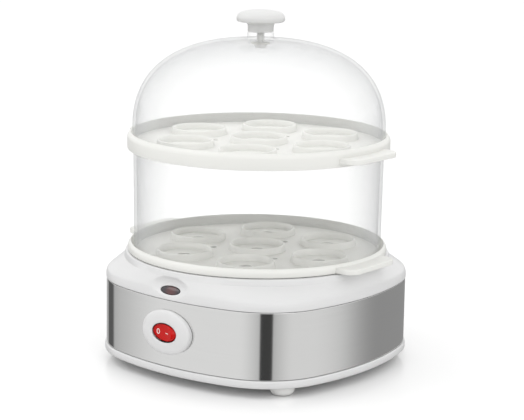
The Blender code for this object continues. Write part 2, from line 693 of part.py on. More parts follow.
def make_switch(white, black, brass, zinc):
    barrel = add_object("barrel_cutter", barrel_mesh(GAP), black)
    place(barrel, (0.0, PIVOT_Y, SWITCH_HEIGHT))
    half_x = ROCKER_RADIUS + SWITCH_BODY_SIDE
    half_z = ROCKER_HALF_HEIGHT + 1.5 * SWITCH_BODY_SIDE
    front = -(HALF_WIDTH - BAND_THICKNESS - 2 * GAP)
    back = front + SWITCH_BODY_DEPTH
    flange = -(HALF_WIDTH + INNER_OFFSET) + 1.0
    outline = ((half_x, half_z, front), (half_x, half_z, flange),
               (half_x + SWITCH_FLANGE, half_z + SWITCH_FLANGE, flange),
               (half_x + SWITCH_FLANGE, half_z + SWITCH_FLANGE, flange + SWITCH_FLANGE),
               (half_x, half_z, flange + SWITCH_FLANGE), (half_x, half_z, back))
    rings = [[(sx * x, y, SWITCH_HEIGHT + sz * z) for sx, sz in ((1, 1), (-1, 1), (-1, -1), (1, -1))]
             for x, z, y in outline]
    body = add_object("switch_body", lofted_mesh(rings), black)
    cut(body, barrel)
    axle_half = ROCKER_HALF_HEIGHT + 2.0
    axle_hole = rods_mesh([(0.0, PIVOT_Y)], AXLE_RADIUS + GAP, SWITCH_HEIGHT - axle_half - GAP,
                          SWITCH_HEIGHT + axle_half + GAP, 12)
    cut(body, add_object("body_axle_cutter", axle_hole, black))
    axle = rods_mesh([(0.0, PIVOT_Y)], AXLE_RADIUS, SWITCH_HEIGHT - axle_half, SWITCH_HEIGHT + axle_half, 12)
    add_object("rocker_axle", axle, zinc)
    for i, x in enumerate((-6.0, 0.0, 6.0)):
        centre = (x, back + GAP + BLADE_LENGTH / 2, SWITCH_HEIGHT)
        blade = box_mesh((BLADE_THICKNESS, BLADE_LENGTH, BLADE_WIDTH), (0, 0, 0))
        place(add_object("switch_blade_%d" % (i + 1), blade, brass), centre)
    make_bezel(white, barrel)
    opening_size = (2 * (half_x + GAP), 20.0, 2 * (half_z + GAP))
    return add_object("switch_opening_cutter", box_mesh(opening_size, (0.0, front, SWITCH_HEIGHT)), white)


def make_bezel(white, barrel):
    wide, tall = BEZEL_HALF_WIDTH, BEZEL_HALF_HEIGHT
    face = HALF_WIDTH + BEZEL_PROUD
    inner_wide = ROCKER_HALF_WIDTH + GAP
    inner_tall = ROCKER_HALF_HEIGHT + GAP
    buried = HALF_WIDTH - 4.0
    outline = [(wide, tall, buried), (wide, tall, HALF_WIDTH + BEZEL_EDGE),
               (wide - 0.9, tall - 0.8, HALF_WIDTH + BEZEL_EDGE + 1.1),
               (wide - 3.4, tall - 2.9, face - 0.6), (inner_wide + 2.0, inner_tall + 2.0, face),
               (inner_wide, inner_tall, face), (inner_wide, inner_tall, buried)]
    rings = [oval_ring(x, z, -y, SWITCH_HEIGHT) for x, z, y in outline]
    bezel = add_object("switch_bezel", lofted_mesh(rings, closed=True), white)
    heights = (SWITCH_HEIGHT - 2 * tall, SWITCH_HEIGHT + 2 * tall)
    face_form = lofted_mesh([plan_ring(GAP, height) for height in heights])
    cut(bezel, add_object("bezel_face_cutter", face_form, white))
    cut(bezel, barrel)


def make_gland(black, housing, band):
    low = HALF_WIDTH - GLAND_DEPTH
    face = HALF_WIDTH + GAP
    step = face + GLAND_FLANGE_THICKNESS
    tip = HALF_WIDTH + GLAND_PROUD
    profile = [(GLAND_BORE_RADIUS, low), (GLAND_NECK_RADIUS, low), (GLAND_NECK_RADIUS, face),
               (GLAND_FLANGE_RADIUS, face), (GLAND_FLANGE_RADIUS, step),
               (GLAND_NECK_RADIUS + 0.7, step + 0.8), (GLAND_NECK_RADIUS + 0.4, tip),
               (GLAND_BORE_RADIUS, tip)]
    gland = add_object("cord_gland", turned_mesh(profile, SMALL_TURN), black)
    place(gland, (0.0, 0.0, GLAND_HEIGHT), ALONG_Y)
    wall = HALF_WIDTH + INNER_OFFSET - 2 * GAP
    hexagon = [[(*polar(radius, 60 * i), height) for i in range(6)] for radius, height in (
        (GLAND_NECK_RADIUS + 3 * GAP, wall - 3.2), (GLAND_NUT_RADIUS, wall - 3.2),
        (GLAND_NUT_RADIUS, wall), (GLAND_NECK_RADIUS + 3 * GAP, wall))]
    nut = add_object("gland_nut", lofted_mesh(hexagon, closed=True), black)
    place(nut, (0.0, 0.0, GLAND_HEIGHT), ALONG_Y)
    hole = rods_mesh([(0.0, 0.0)], GLAND_NECK_RADIUS + GAP, low, tip)
    cutter = place(add_object("gland_hole_cutter", hole, black), (0.0, 0.0, GLAND_HEIGHT), ALONG_Y)
    cut(housing, cutter)
    cut(band, cutter)


def make_wiring(block_plastic, red, blue, white):
    depth = BLOCK_SIZE[1]
    middle = HALF_WIDTH - BLOCK_SETBACK
    low = FLOOR_TOP + GAP
    block = box_mesh(BLOCK_SIZE, (0.0, middle, low + BLOCK_SIZE[2] / 2))
    add_object("terminal_block", block, block_plastic)
    front = middle - depth / 2 - GAP
    blade_end = -(HALF_WIDTH - BAND_THICKNESS - 2 * GAP) + SWITCH_BODY_DEPTH + BLADE_LENGTH + 2 * GAP
    thermostat_end = HUNG_TOP - THERMOSTAT_HEIGHT - BLADE_LENGTH - 2 * GAP
    thermostat_x = THERMOSTAT_RADIUS * 0.55
    fuse_level = HUNG_TOP - FUSE_RADIUS
    fuse_end = FUSE_LENGTH / 2 + GAP
    pin = heater_route()[-1] - Vector((0, 0, PIN_LENGTH + 2 * GAP))
    lamp = lens_frame() @ Vector((0.0, LAMP_SETBACK * MM, 0.0)) / MM
    lamp_end = LAMP_LENGTH / 2 + GAP
    level = low + 6.0
    routes = {
        "wire_live": ((0, front, level), (0, front - 9, level), (-20, 20, 12), (-20, -20, 12),
                      (-12, blade_end + 10, 22), (-6, blade_end + 3, SWITCH_HEIGHT),
                      (-6, blade_end, SWITCH_HEIGHT)),
        "wire_switched": ((0, blade_end, SWITCH_HEIGHT), (0, blade_end + 4, SWITCH_HEIGHT),
                          (3, -26, 27), (thermostat_x, -8, 24), (thermostat_x, 0, thermostat_end - 4),
                          (thermostat_x, 0, thermostat_end)),
        "wire_fuse": ((-thermostat_x, 0, thermostat_end), (-thermostat_x, 0, thermostat_end - 3),
                      (-9, -10, 29), (-15, -FUSE_OFFSET, 37), (-fuse_end - 3, -FUSE_OFFSET, fuse_level),
                      (-fuse_end, -FUSE_OFFSET, fuse_level)),
        "wire_heater": ((fuse_end, -FUSE_OFFSET, fuse_level), (fuse_end + 3, -FUSE_OFFSET, fuse_level),
                        (20, -FUSE_OFFSET, 37), (27, 0, 28), (24, 22, 20), (pin.x, pin.y, pin.z - 6),
                        tuple(pin)),
        "wire_neutral": ((-6, front, level), (-6, front - 5, level), (-pin.x, pin.y, level + 4),
                         (-pin.x, pin.y, pin.z)),
        "wire_lamp": ((lamp_end, lamp.y, lamp.z), (lamp_end + 3, lamp.y, lamp.z),
                      (10, -62, 46), (9, blade_end + 1, 42), (7, blade_end + 6, SWITCH_HEIGHT + 3),
                      (6, blade_end + 3, SWITCH_HEIGHT), (6, blade_end, SWITCH_HEIGHT)),
    }
    colours = {"wire_live": red, "wire_switched": red, "wire_neutral": blue}
    for name, points in routes.items():
        tube(name, smooth_route(points), WIRE_RADIUS, colours.get(name, white), 1)


def tab_outline(reach):
    # Round corners outside, and an inner edge that stays inside the tray's round wall.
    outline = []
    for side, start in ((-1, -90.0), (1, 0.0)):
        centre = Vector((reach - TAB_CORNER, side * (TAB_HALF_LENGTH - TAB_CORNER)))
        outline += [centre + Vector(polar(TAB_CORNER, start + 22.5 * i)) for i in range(5)]
    root = TRAY_INNER_RADIUS + TAB_ROOT
    half = math.degrees(math.asin(TAB_HALF_LENGTH / root))
    outline += [Vector(polar(root, half - 2 * half * i / 8)) for i in range(9)]
    return outline


def tab_mesh(reach, low, high):
    # A flat tab on each side of a tray.
    bm = bmesh.new()
    for turn in (1, -1):
        verts = [bm.verts.new(Vector((turn * p.x, turn * p.y, low)) * MM) for p in tab_outline(reach)]
        face = bm.faces.new(verts)
        extruded = bmesh.ops.extrude_face_region(bm, geom=[face])["geom"]
        moved = [item for item in extruded if isinstance(item, bmesh.types.BMVert)]
        bmesh.ops.translate(bm, vec=Vector((0, 0, high - low)) * MM, verts=moved)
    bmesh.ops.recalc_face_normals(bm, faces=bm.faces)
    return bm


def finish_tray(tray, floor, tab_low, reach, white):
    # Both trays carry seven egg wells, steam holes and a tab on each side.
    wells = [(0.0, 0.0)] + ring_of_places(WELL_RING_RADIUS, WELL_COUNT)
    rings = bmesh.new()
    for x, y in wells:
        profile = [(WELL_RADIUS, floor - 0.5), (WELL_RADIUS + WELL_WALL, floor - 0.5),
                   (WELL_RADIUS + WELL_WALL - 0.4, floor + WELL_HEIGHT),
                   (WELL_RADIUS + 0.2, floor + WELL_HEIGHT)]
        ring = turned_mesh(profile, WELL_TURN)
        bmesh.ops.translate(ring, vec=Vector((x, y, 0.0)) * MM, verts=ring.verts)
        spare = bpy.data.meshes.new("well")
        ring.to_mesh(spare)
        ring.free()
        rings.from_mesh(spare)
        bpy.data.meshes.remove(spare)
    fuse(tray, add_object(tray.name + "_well_guide", rings, white))
    tabs = tab_mesh(reach, tab_low, tab_low + TAB_THICKNESS)
    fuse(tray, add_object(tray.name + "_tab_guide", tabs, white))
    low, high = floor - 2 * TRAY_FLOOR, floor + 2 * WELL_HEIGHT
    holes = rods_mesh(wells, WELL_HOLE_RADIUS, low, high, 8)
    between = ring_of_places(STEAM_HOLE_RING_RADIUS, WELL_COUNT, 180 / WELL_COUNT)
    rods_mesh(between, STEAM_HOLE_RADIUS, low, high, 6, holes)
    cut(tray, add_object(tray.name + "_hole_cutter", holes, white))


def make_lower_tray(white):
    rim = LOWER_RIM_RADIUS
    inner = TRAY_INNER_RADIUS
    spigot = COLLAR_INNER - LOOSE
    spigot_low = LOWER_FLOOR - TRAY_FLOOR - 1.3
    top = LOWER_RIM_BOTTOM + LOWER_RIM_HEIGHT
    under = LOWER_FLOOR - TRAY_FLOOR
    profile = [(0.0, LOWER_FLOOR), (inner, LOWER_FLOOR), (inner, top), (inner + 0.5, top),
               (rim, top - SHOULDER_DROP), (rim, LOWER_RIM_BOTTOM), (spigot, LOWER_RIM_BOTTOM),
               (spigot, spigot_low), (spigot - TRAY_WALL, spigot_low), (spigot - TRAY_WALL, under),
               (0.0, under)]
    tray = add_object("lower_tray", turned_mesh(profile, LARGE_TURN), white)
    finish_tray(tray, LOWER_FLOOR, LOWER_RIM_BOTTOM + LOWER_TAB_RISE, COLLAR_RADIUS + TAB_REACH, white)


def make_upper_tray(white):
    rim = UPPER_RIM_RADIUS
    inner = TRAY_INNER_RADIUS
    low = UPPER_RIM_BOTTOM
    top = low + UPPER_RIM_HEIGHT
    under = UPPER_FLOOR - TRAY_FLOOR
    profile = [(0.0, UPPER_FLOOR), (inner, UPPER_FLOOR), (inner, top), (inner + 0.3, top),
               (rim, top - SHOULDER_DROP - 0.4), (rim, low), (rim - TRAY_WALL, low),
               (rim - TRAY_WALL, under), (0.0, under)]
    tray = add_object("upper_tray", turned_mesh(profile, LARGE_TURN), white)
    finish_tray(tray, UPPER_FLOOR, low + UPPER_TAB_RISE, COLLAR_RADIUS + TAB_REACH, white)


def make_steam_ring(clear):
    low = RING_RADIUS - STEAM_RING_TAPER
    high = RING_RADIUS
    profile = [(low - CLEAR_WALL, RING_BOTTOM), (low, RING_BOTTOM), (high, RING_TOP),
               (high - CLEAR_WALL, RING_TOP)]
    add_object("steam_ring", turned_mesh(profile, LARGE_TURN), clear)


def dome_arc(radius, height, base, top_radius, count=8):
    # Points of a fuller-than-round dome, from its base up to top_radius.
    last = math.acos((top_radius / radius) ** (DOME_EXPONENT / 2))
    points = []
    for i in range(count):
        angle = last * i / (count - 1)
        points.append((radius * math.cos(angle) ** (2 / DOME_EXPONENT),
                       base + height * math.sin(angle) ** (2 / DOME_EXPONENT)))
    return points


def make_lid(clear, white, zinc, silicone):
    bore = KNOB_SCREW_RADIUS + GAP
    outer = dome_arc(LID_RADIUS, DOME_HEIGHT, DOME_BASE, BOSS_RADIUS)
    inner = dome_arc(LID_RADIUS - CLEAR_WALL, DOME_HEIGHT - CLEAR_WALL, DOME_BASE, bore)
    profile = [(bore, BOSS_TOP), (BOSS_RADIUS, BOSS_TOP)] + outer[::-1]
    profile += [(LID_RADIUS, LID_BOTTOM), (LID_RADIUS - CLEAR_WALL, LID_BOTTOM)] + inner
    dome = add_object("lid_dome", turned_mesh(profile, LARGE_TURN), clear)
    vents = rods_mesh([(-VENT_HOLE_OFFSET, 0.0), (VENT_HOLE_OFFSET, 0.0)], VENT_HOLE_RADIUS,
                      DOME_BASE + DOME_HEIGHT / 2, BOSS_TOP, 8)
    cut(dome, add_object("dome_vent_cutter", vents, clear))

    low = KNOB_BOTTOM
    neck_top = low + KNOB_NECK_HEIGHT
    top = low + KNOB_HEIGHT
    cap = KNOB_CAP_RADIUS
    hole_top = top - 3.5
    knob = [(0.0, hole_top), (bore, hole_top), (bore, low), (KNOB_NECK_RADIUS, low),
            (KNOB_NECK_RADIUS, neck_top - 1.5), (KNOB_NECK_RADIUS + 1.5, neck_top - 0.2),
            (cap - 0.8, neck_top), (cap, neck_top + 0.8), (cap, neck_top + 3.0),
            (0.92 * cap, top - 2.3), (0.72 * cap, top - 1.0), (0.4 * cap, top - 0.2), (0.0, top)]
    add_object("lid_knob", turned_mesh(knob, 24), white)

    under = inner[-1][1] - GAP
    washer_low = under - WASHER_THICKNESS
    washer = [(bore, washer_low), (WASHER_RADIUS, washer_low), (WASHER_RADIUS, under), (bore, under)]
    add_object("knob_washer", turned_mesh(washer, SMALL_TURN), silicone)
    head_top = washer_low - GAP
    screw = [(0.0, hole_top - 1.0), (KNOB_SCREW_RADIUS, hole_top - 1.0), (KNOB_SCREW_RADIUS, head_top),
             (KNOB_SCREW_HEAD_RADIUS, head_top), (KNOB_SCREW_HEAD_RADIUS - 0.8, head_top - 2.0),
             (0.0, head_top - 2.4)]
    add_object("knob_screw", turned_mesh(screw, 16), zinc)


def build():
    clear_scene()
    white = make_material("white_plastic", "E4E4E2", 0.35)
    steel = make_material("brushed_steel", "BDBAB5", 0.32, 1.0)
    dish = make_material("dish_steel", "B4B4B2", 0.28, 1.0)
    zinc = make_material("zinc_plate", "9C9C98", 0.4, 1.0)
    brass = make_material("brass", "B8954A", 0.35, 1.0)
    black = make_material("black_plastic", "202020", 0.5)
    red = make_material("red_rocker", "C81010", 0.2, 0.0, 0.3)
    smoked = make_material("smoked_lens", "4A3A3E", 0.15, 0.0, 0.3)
    amber = make_material("neon_glass", "D87840", 0.1, 0.0, 0.5)
    clear = make_material("clear_plastic", "F4F6F6", 0.05, 0.0, 1.0)
    silicone = make_material("silicone", "D0CEC8", 0.7)
    bakelite = make_material("bakelite", "3A2A22", 0.5)
    ivory = make_material("nylon", "DCD8C8", 0.5)
    blue = make_material("blue_wire", "3060A0", 0.5)

    housing = make_upper_housing(white)
    band = make_steel_band(steel)
    make_bottom_plate(white)
    make_feet(white)
    make_housing_screws(zinc)
    make_heating_plate(dish, silicone)
    make_heater(dish, zinc)
    make_thermostat(bakelite, brass)
    make_strap(zinc)
    make_fuse(ivory)
    make_light(smoked, amber, housing)
    opening = make_switch(white, black, brass, zinc)
    cut(housing, opening)
    cut(band, opening)
    make_rocker(red)
    make_gland(black, housing, band)
    make_wiring(ivory, red, blue, ivory)
    make_lower_tray(white)
    make_steam_ring(clear)
    make_upper_tray(white)
    make_lid(clear, white, zinc, silicone)


build()
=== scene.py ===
import json
import math

import bmesh
import bpy
from mathutils import Matrix, Vector


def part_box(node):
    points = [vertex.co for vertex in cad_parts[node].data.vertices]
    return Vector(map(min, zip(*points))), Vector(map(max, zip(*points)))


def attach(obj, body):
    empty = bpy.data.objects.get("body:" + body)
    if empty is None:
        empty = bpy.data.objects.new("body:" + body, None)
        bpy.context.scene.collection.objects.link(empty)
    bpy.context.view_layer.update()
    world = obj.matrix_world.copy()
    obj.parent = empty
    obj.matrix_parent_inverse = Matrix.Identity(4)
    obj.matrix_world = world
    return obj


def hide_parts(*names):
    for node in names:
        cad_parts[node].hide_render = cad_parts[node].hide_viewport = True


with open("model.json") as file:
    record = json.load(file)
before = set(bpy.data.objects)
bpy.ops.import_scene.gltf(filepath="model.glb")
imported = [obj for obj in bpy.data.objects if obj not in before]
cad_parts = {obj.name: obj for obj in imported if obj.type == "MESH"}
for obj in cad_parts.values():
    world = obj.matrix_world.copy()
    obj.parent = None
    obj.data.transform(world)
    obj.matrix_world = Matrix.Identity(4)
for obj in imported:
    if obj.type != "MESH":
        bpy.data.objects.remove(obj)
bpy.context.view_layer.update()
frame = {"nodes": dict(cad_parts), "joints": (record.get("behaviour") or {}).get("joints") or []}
mm = 0.001
nodes = frame["nodes"]

view = {
    "side": 38.0,        # degrees round from the switch face
    "distance": 1.078,
    "height": 0.3122,
    "down": 11.69,
    "turn": -0.134,
    "roll": 0.95,
    "lens": 127.2,
}
studio = {
    "sky": 1.0,
    "softExtra": 0.3,    # more of the sky for matte surfaces
    "mirrorExtra": 0.05,  # and for what polished surfaces mirror
    "keyPower": 3.5,
    "keySize": 0.9,
    "fillPower": 2.0,
    "floorSize": 6.0,
    "floorColour": "EEEEEE",
    "floorGloss": 0.12,
    "floorIor": 1.3,
}
# The room that polished things mirror: plain walls with a few broad things against them.
# Each stands at an angle round from the switch face, reaches half its width either way
# and fades out over its edge. Tones are neutral greys.
room = {
    "wall": 0.45,
    "things": {
        "windowLeft": {"at": -20, "half": 20, "edge": 45, "tone": 0.75},
        "windowRight": {"at": 95, "half": 15, "edge": 40, "tone": 0.7},
        "backWall": {"at": 180, "half": 25, "edge": 30, "tone": 0.28},
        "leftCurtain": {"at": -100, "half": 8, "edge": 8, "tone": 0.1},
        "doorway": {"at": 40, "half": 8, "edge": 2, "tone": 0.05},
    },
}


def toLinear(hexCode):
    channels = [int(hexCode[i:i + 2], 16) / 255 for i in (0, 2, 4)]
    return [c / 12.92 if c <= 0.04045 else ((c + 0.055) / 1.055) ** 2.4 for c in channels] + [1.0]


def addNode(tree, kind, place=(0, 0), settings=None, values=None, links=None):
    # one shader node: its settings, its sockets' values and what feeds its sockets
    node = tree.nodes.new(kind)
    node.location = place
    for key, value in (settings or {}).items():
        setattr(node, key, value)
    for key, value in (values or {}).items():
        node.inputs[key].default_value = value
    for key, socket in (links or {}).items():
        tree.links.new(socket, node.inputs[key])
    return node


def addThing(tree, direction, behind, thing):
    # paints one thing of the room over what is behind it and gives the new colour
    angle = math.radians(thing["at"])
    onFloor = addNode(tree, "ShaderNodeVectorMath", settings={"operation": "MULTIPLY"},
                     values={1: (1, 1, 0)}, links={0: direction})
    flat = addNode(tree, "ShaderNodeVectorMath", settings={"operation": "NORMALIZE"},
                   links={0: onFloor.outputs[0]})
    along = addNode(tree, "ShaderNodeVectorMath", settings={"operation": "DOT_PRODUCT"},
                    values={1: (math.sin(angle), -math.cos(angle), 0)}, links={0: flat.outputs[0]})
    apart = addNode(tree, "ShaderNodeMath", settings={"operation": "ARCCOSINE"},
                    links={0: along.outputs["Value"]})
    share = addNode(tree, "ShaderNodeMapRange", settings={"interpolation_type": "SMOOTHSTEP"},
                    values={"From Min": math.radians(thing["half"]),
                            "From Max": math.radians(thing["half"] + thing["edge"]),
                            "To Min": 1.0, "To Max": 0.0}, links={"Value": apart.outputs[0]})
    paint = addNode(tree, "ShaderNodeMix", settings={"data_type": "RGBA"},
                    values={"A": [room["wall"]] * 3 + [1.0], "B": [thing["tone"]] * 3 + [1.0]},
                    links={"Factor": share.outputs[0]})
    if behind:
        tree.links.new(behind, paint.inputs["A"])
    return paint.outputs["Result"]


def makeCamera():
    camera = bpy.data.objects.new("camera", bpy.data.cameras.new("camera"))
    bpy.context.scene.collection.objects.link(camera)
    camera.data.lens = view["lens"]
    camera.data.sensor_width = 36.0
    side = math.radians(view["side"])
    spot = Vector((view["distance"] * math.sin(side), -view["distance"] * math.cos(side), view["height"]))
    facing = Matrix.Rotation(side + math.radians(view["turn"]), 4, "Z")
    tipped = Matrix.Rotation(math.radians(90 - view["down"]), 4, "X")
    rolled = Matrix.Rotation(math.radians(view["roll"]), 4, "Z")
    camera.matrix_world = Matrix.Translation(spot) @ facing @ tipped @ rolled
    bpy.context.scene.camera = camera


def makeStudio():
    scene = bpy.context.scene
    scene.view_settings.view_transform = "Standard"
    world = bpy.data.worlds.new("studio")
    scene.world = world
    world.use_nodes = True
    tree = world.node_tree
    tree.nodes.clear()
    spot = addNode(tree, "ShaderNodeTexCoord")
    walls = None
    for thing in room["things"].values():
        walls = addThing(tree, spot.outputs["Generated"], walls, thing)
    ray = addNode(tree, "ShaderNodeLightPath")
    # The walls stand below eye level and end in a white ceiling, which is what the table mirrors.
    height = addNode(tree, "ShaderNodeSeparateXYZ", links={0: spot.outputs["Generated"]})
    under = addNode(tree, "ShaderNodeMapRange", links={"Value": height.outputs["Z"]},
                    values={"From Min": -0.02, "From Max": 0.05, "To Min": 1.0, "To Max": 0.0})
    mirrored = addNode(tree, "ShaderNodeMath", settings={"operation": "MULTIPLY"},
                       links={0: under.outputs[0], 1: ray.outputs["Is Glossy Ray"]})
    seen = addNode(tree, "ShaderNodeMix", settings={"data_type": "RGBA"},
                   values={"A": (1, 1, 1, 1)}, links={"Factor": mirrored.outputs[0], "B": walls})
    soft = addNode(tree, "ShaderNodeMath", settings={"operation": "MULTIPLY_ADD"},
                   values={1: studio["softExtra"], 2: studio["sky"]},
                   links={0: ray.outputs["Is Diffuse Ray"]})
    power = addNode(tree, "ShaderNodeMath", settings={"operation": "MULTIPLY_ADD"},
                    values={1: studio["mirrorExtra"]}, links={0: ray.outputs["Is Glossy Ray"],
                                                              2: soft.outputs[0]})
    sky = addNode(tree, "ShaderNodeBackground",
                  links={"Color": seen.outputs["Result"], "Strength": power.outputs[0]})
    addNode(tree, "ShaderNodeOutputWorld", links={"Surface": sky.outputs[0]})


def addLamp(name, place, size, power):
    lamp = bpy.data.lights.new(name, "AREA")
    lamp.shape = "DISK"
    lamp.size = size
    lamp.energy = power
    holder = bpy.data.objects.new(name, lamp)
    bpy.context.scene.collection.objects.link(holder)
    aim = Vector((0, 0, 0.1)) - Vector(place)
    turn = aim.to_track_quat("-Z", "Y").to_matrix().to_4x4()
    holder.matrix_world = Matrix.Translation(Vector(place)) @ turn


def makeFloor():
    bm = bmesh.new()
    bmesh.ops.create_grid(bm, x_segments=1, y_segments=1, size=studio["floorSize"])
    mesh = bpy.data.meshes.new("floor")
    bm.to_mesh(mesh)
    bm.free()
    floor = bpy.data.objects.new("floor", mesh)
    bpy.context.scene.collection.objects.link(floor)
    paint = bpy.data.materials.new("matte_white_board")
    paint.use_nodes = True
    shader = paint.node_tree.nodes["Principled BSDF"]
    shader.inputs["Base Color"].default_value = toLinear(studio["floorColour"])
    shader.inputs["Roughness"].default_value = studio["floorGloss"]
    shader.inputs["IOR"].default_value = studio["floorIor"]
    mesh.materials.append(paint)
    floor.visible_glossy = False  # the steel mirrors the room's walls, not the table


makeCamera()
makeStudio()
makeFloor()
addLamp("key", (-0.9, -0.7, 1.5), studio["keySize"], studio["keyPower"])
addLamp("fill", (1.3, -0.6, 0.9), studio["keySize"], studio["fillPower"])
print("camera, floor and light: done")


def newFinish(name):
    finish = bpy.data.materials.new(name)
    finish.use_nodes = True
    return finish, finish.node_tree, finish.node_tree.nodes["Principled BSDF"]


def mouldedPlastic(name, hexCode, roughness, grain=0.6, depth=0.02, tone=0.03, **sockets):
    # Injection moulded plastic: nearly even colour, faint flow tone and a fine mould grain.
    finish, tree, shader = newFinish(name)
    spot = addNode(tree, "ShaderNodeTexCoord")
    flow = addNode(tree, "ShaderNodeTexNoise", values={"Scale": 1 / (25 * mm), "Detail": 3.0},
                   links={"Vector": spot.outputs["Object"]})
    colour = toLinear(hexCode)
    deeper = [c * (1 - tone) for c in colour[:3]] + [1.0]
    shade = addNode(tree, "ShaderNodeMix", settings={"data_type": "RGBA"},
                    values={"A": deeper, "B": colour}, links={"Factor": flow.outputs["Fac"]})
    tree.links.new(shade.outputs["Result"], shader.inputs["Base Color"])
    skin = addNode(tree, "ShaderNodeTexNoise", values={"Scale": 1 / (grain * mm), "Detail": 2.0},
                   links={"Vector": spot.outputs["Object"]})
    gloss = addNode(tree, "ShaderNodeMapRange", links={"Value": skin.outputs["Fac"]},
                    values={"To Min": roughness - 0.03, "To Max": roughness + 0.03})
    tree.links.new(gloss.outputs[0], shader.inputs["Roughness"])
    bump = addNode(tree, "ShaderNodeBump", values={"Strength": 0.25, "Distance": depth * mm},
                   links={"Height": skin.outputs["Fac"]})
    tree.links.new(bump.outputs[0], shader.inputs["Normal"])
    for socket, value in sockets.items():
        shader.inputs[socket.replace("_", " ")].default_value = value
    return finish


def brushedSheet(name, hexCode, roughness):
    # Stainless sheet brushed round the base: the grain runs level and is 0.2 mm wide; drawn
    # 0.35 mm wide so that it shows. It smears what the steel mirrors up and down.
    finish, tree, shader = newFinish(name)
    spot = addNode(tree, "ShaderNodeTexCoord")
    stretch = addNode(tree, "ShaderNodeMapping", links={"Vector": spot.outputs["Object"]},
                      values={"Scale": (1 / (60 * mm), 1 / (60 * mm), 1 / (0.35 * mm))})
    grain = addNode(tree, "ShaderNodeTexNoise", values={"Scale": 1.0, "Detail": 4.0, "Roughness": 0.6},
                    links={"Vector": stretch.outputs[0]})
    colour = toLinear(hexCode)
    darker = [c * 0.93 for c in colour[:3]] + [1.0]
    tint = addNode(tree, "ShaderNodeMix", settings={"data_type": "RGBA"},
                   values={"A": darker, "B": colour}, links={"Factor": grain.outputs["Fac"]})
    tree.links.new(tint.outputs["Result"], shader.inputs["Base Color"])
    gloss = addNode(tree, "ShaderNodeMapRange", links={"Value": grain.outputs["Fac"]},
                    values={"To Min": roughness - 0.02, "To Max": roughness + 0.03})
    tree.links.new(gloss.outputs[0], shader.inputs["Roughness"])
    bump = addNode(tree, "ShaderNodeBump", values={"Strength": 0.2, "Distance": 0.01 * mm},
                   links={"Height": grain.outputs["Fac"]})
    tree.links.new(bump.outputs[0], shader.inputs["Normal"])
    shader.inputs["Metallic"].default_value = 1.0
    return finish


def spunSheet(name, hexCode, roughness):
    # Stainless spun on a lathe: fine circles round the axis, 0.5 mm apart.
    finish, tree, shader = newFinish(name)
    spot = addNode(tree, "ShaderNodeTexCoord")
    flat = addNode(tree, "ShaderNodeMapping", links={"Vector": spot.outputs["Object"]},
                   values={"Scale": (1.0, 1.0, 0.0)})
    radius = addNode(tree, "ShaderNodeVectorMath", settings={"operation": "LENGTH"},
                     links={0: flat.outputs[0]})
    count = addNode(tree, "ShaderNodeMath", settings={"operation": "MULTIPLY"},
                    values={1: 1 / (0.5 * mm)}, links={0: radius.outputs["Value"]})
    circles = addNode(tree, "ShaderNodeTexNoise", settings={"noise_dimensions": "1D"},
                      values={"Scale": 1.0, "Detail": 3.0}, links={"W": count.outputs[0]})
    colour = toLinear(hexCode)
    darker = [c * 0.86 for c in colour[:3]] + [1.0]
    tint = addNode(tree, "ShaderNodeMix", settings={"data_type": "RGBA"},
                   values={"A": darker, "B": colour}, links={"Factor": circles.outputs["Fac"]})
    tree.links.new(tint.outputs["Result"], shader.inputs["Base Color"])
    bump = addNode(tree, "ShaderNodeBump", values={"Strength": 0.3, "Distance": 0.02 * mm},
                   links={"Height": circles.outputs["Fac"]})
    tree.links.new(bump.outputs[0], shader.inputs["Normal"])
    shader.inputs["Roughness"].default_value = roughness
    shader.inputs["Metallic"].default_value = 1.0
    return finish


def smallMetal(name, hexCode, roughness, spotSize=1.2):
    # Plated or stamped small parts: clouded, slightly uneven metal.
    finish, tree, shader = newFinish(name)
    spot = addNode(tree, "ShaderNodeTexCoord")
    cloud = addNode(tree, "ShaderNodeTexNoise", values={"Scale": 1 / (spotSize * mm), "Detail": 4.0},
                    links={"Vector": spot.outputs["Object"]})
    colour = toLinear(hexCode)
    darker = [c * 0.75 for c in colour[:3]] + [1.0]
    tint = addNode(tree, "ShaderNodeMix", settings={"data_type": "RGBA"},
                   values={"A": darker, "B": colour}, links={"Factor": cloud.outputs["Fac"]})
    tree.links.new(tint.outputs["Result"], shader.inputs["Base Color"])
    gloss = addNode(tree, "ShaderNodeMapRange", links={"Value": cloud.outputs["Fac"]},
                    values={"To Min": roughness - 0.08, "To Max": roughness + 0.12})
    tree.links.new(gloss.outputs[0], shader.inputs["Roughness"])
    shader.inputs["Metallic"].default_value = 1.0
    return finish


def smokedWindow(name, hexCode, glowHex, roughness):
    # Smoked clear plastic: grey, with the unlit lamp showing dull red through its middle.
    finish, tree, shader = newFinish(name)
    smallest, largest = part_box("indicator_lens")
    spot = addNode(tree, "ShaderNodeTexCoord")
    away = addNode(tree, "ShaderNodeVectorMath", settings={"operation": "DISTANCE"},
                   values={1: (smallest + largest) / 2 + Vector((0.8, 0, -0.4)) * mm},
                   links={0: spot.outputs["Object"]})
    near = addNode(tree, "ShaderNodeMapRange", settings={"interpolation_type": "SMOOTHSTEP"},
                   values={"From Min": 1.5 * mm, "From Max": 6.0 * mm, "To Min": 1.0, "To Max": 0.0},
                   links={"Value": away.outputs["Value"]})
    tint = addNode(tree, "ShaderNodeMix", settings={"data_type": "RGBA"},
                   values={"A": toLinear(hexCode), "B": toLinear(glowHex)},
                   links={"Factor": near.outputs[0]})
    tree.links.new(tint.outputs["Result"], shader.inputs["Base Color"])
    shader.inputs["Roughness"].default_value = roughness
    return finish


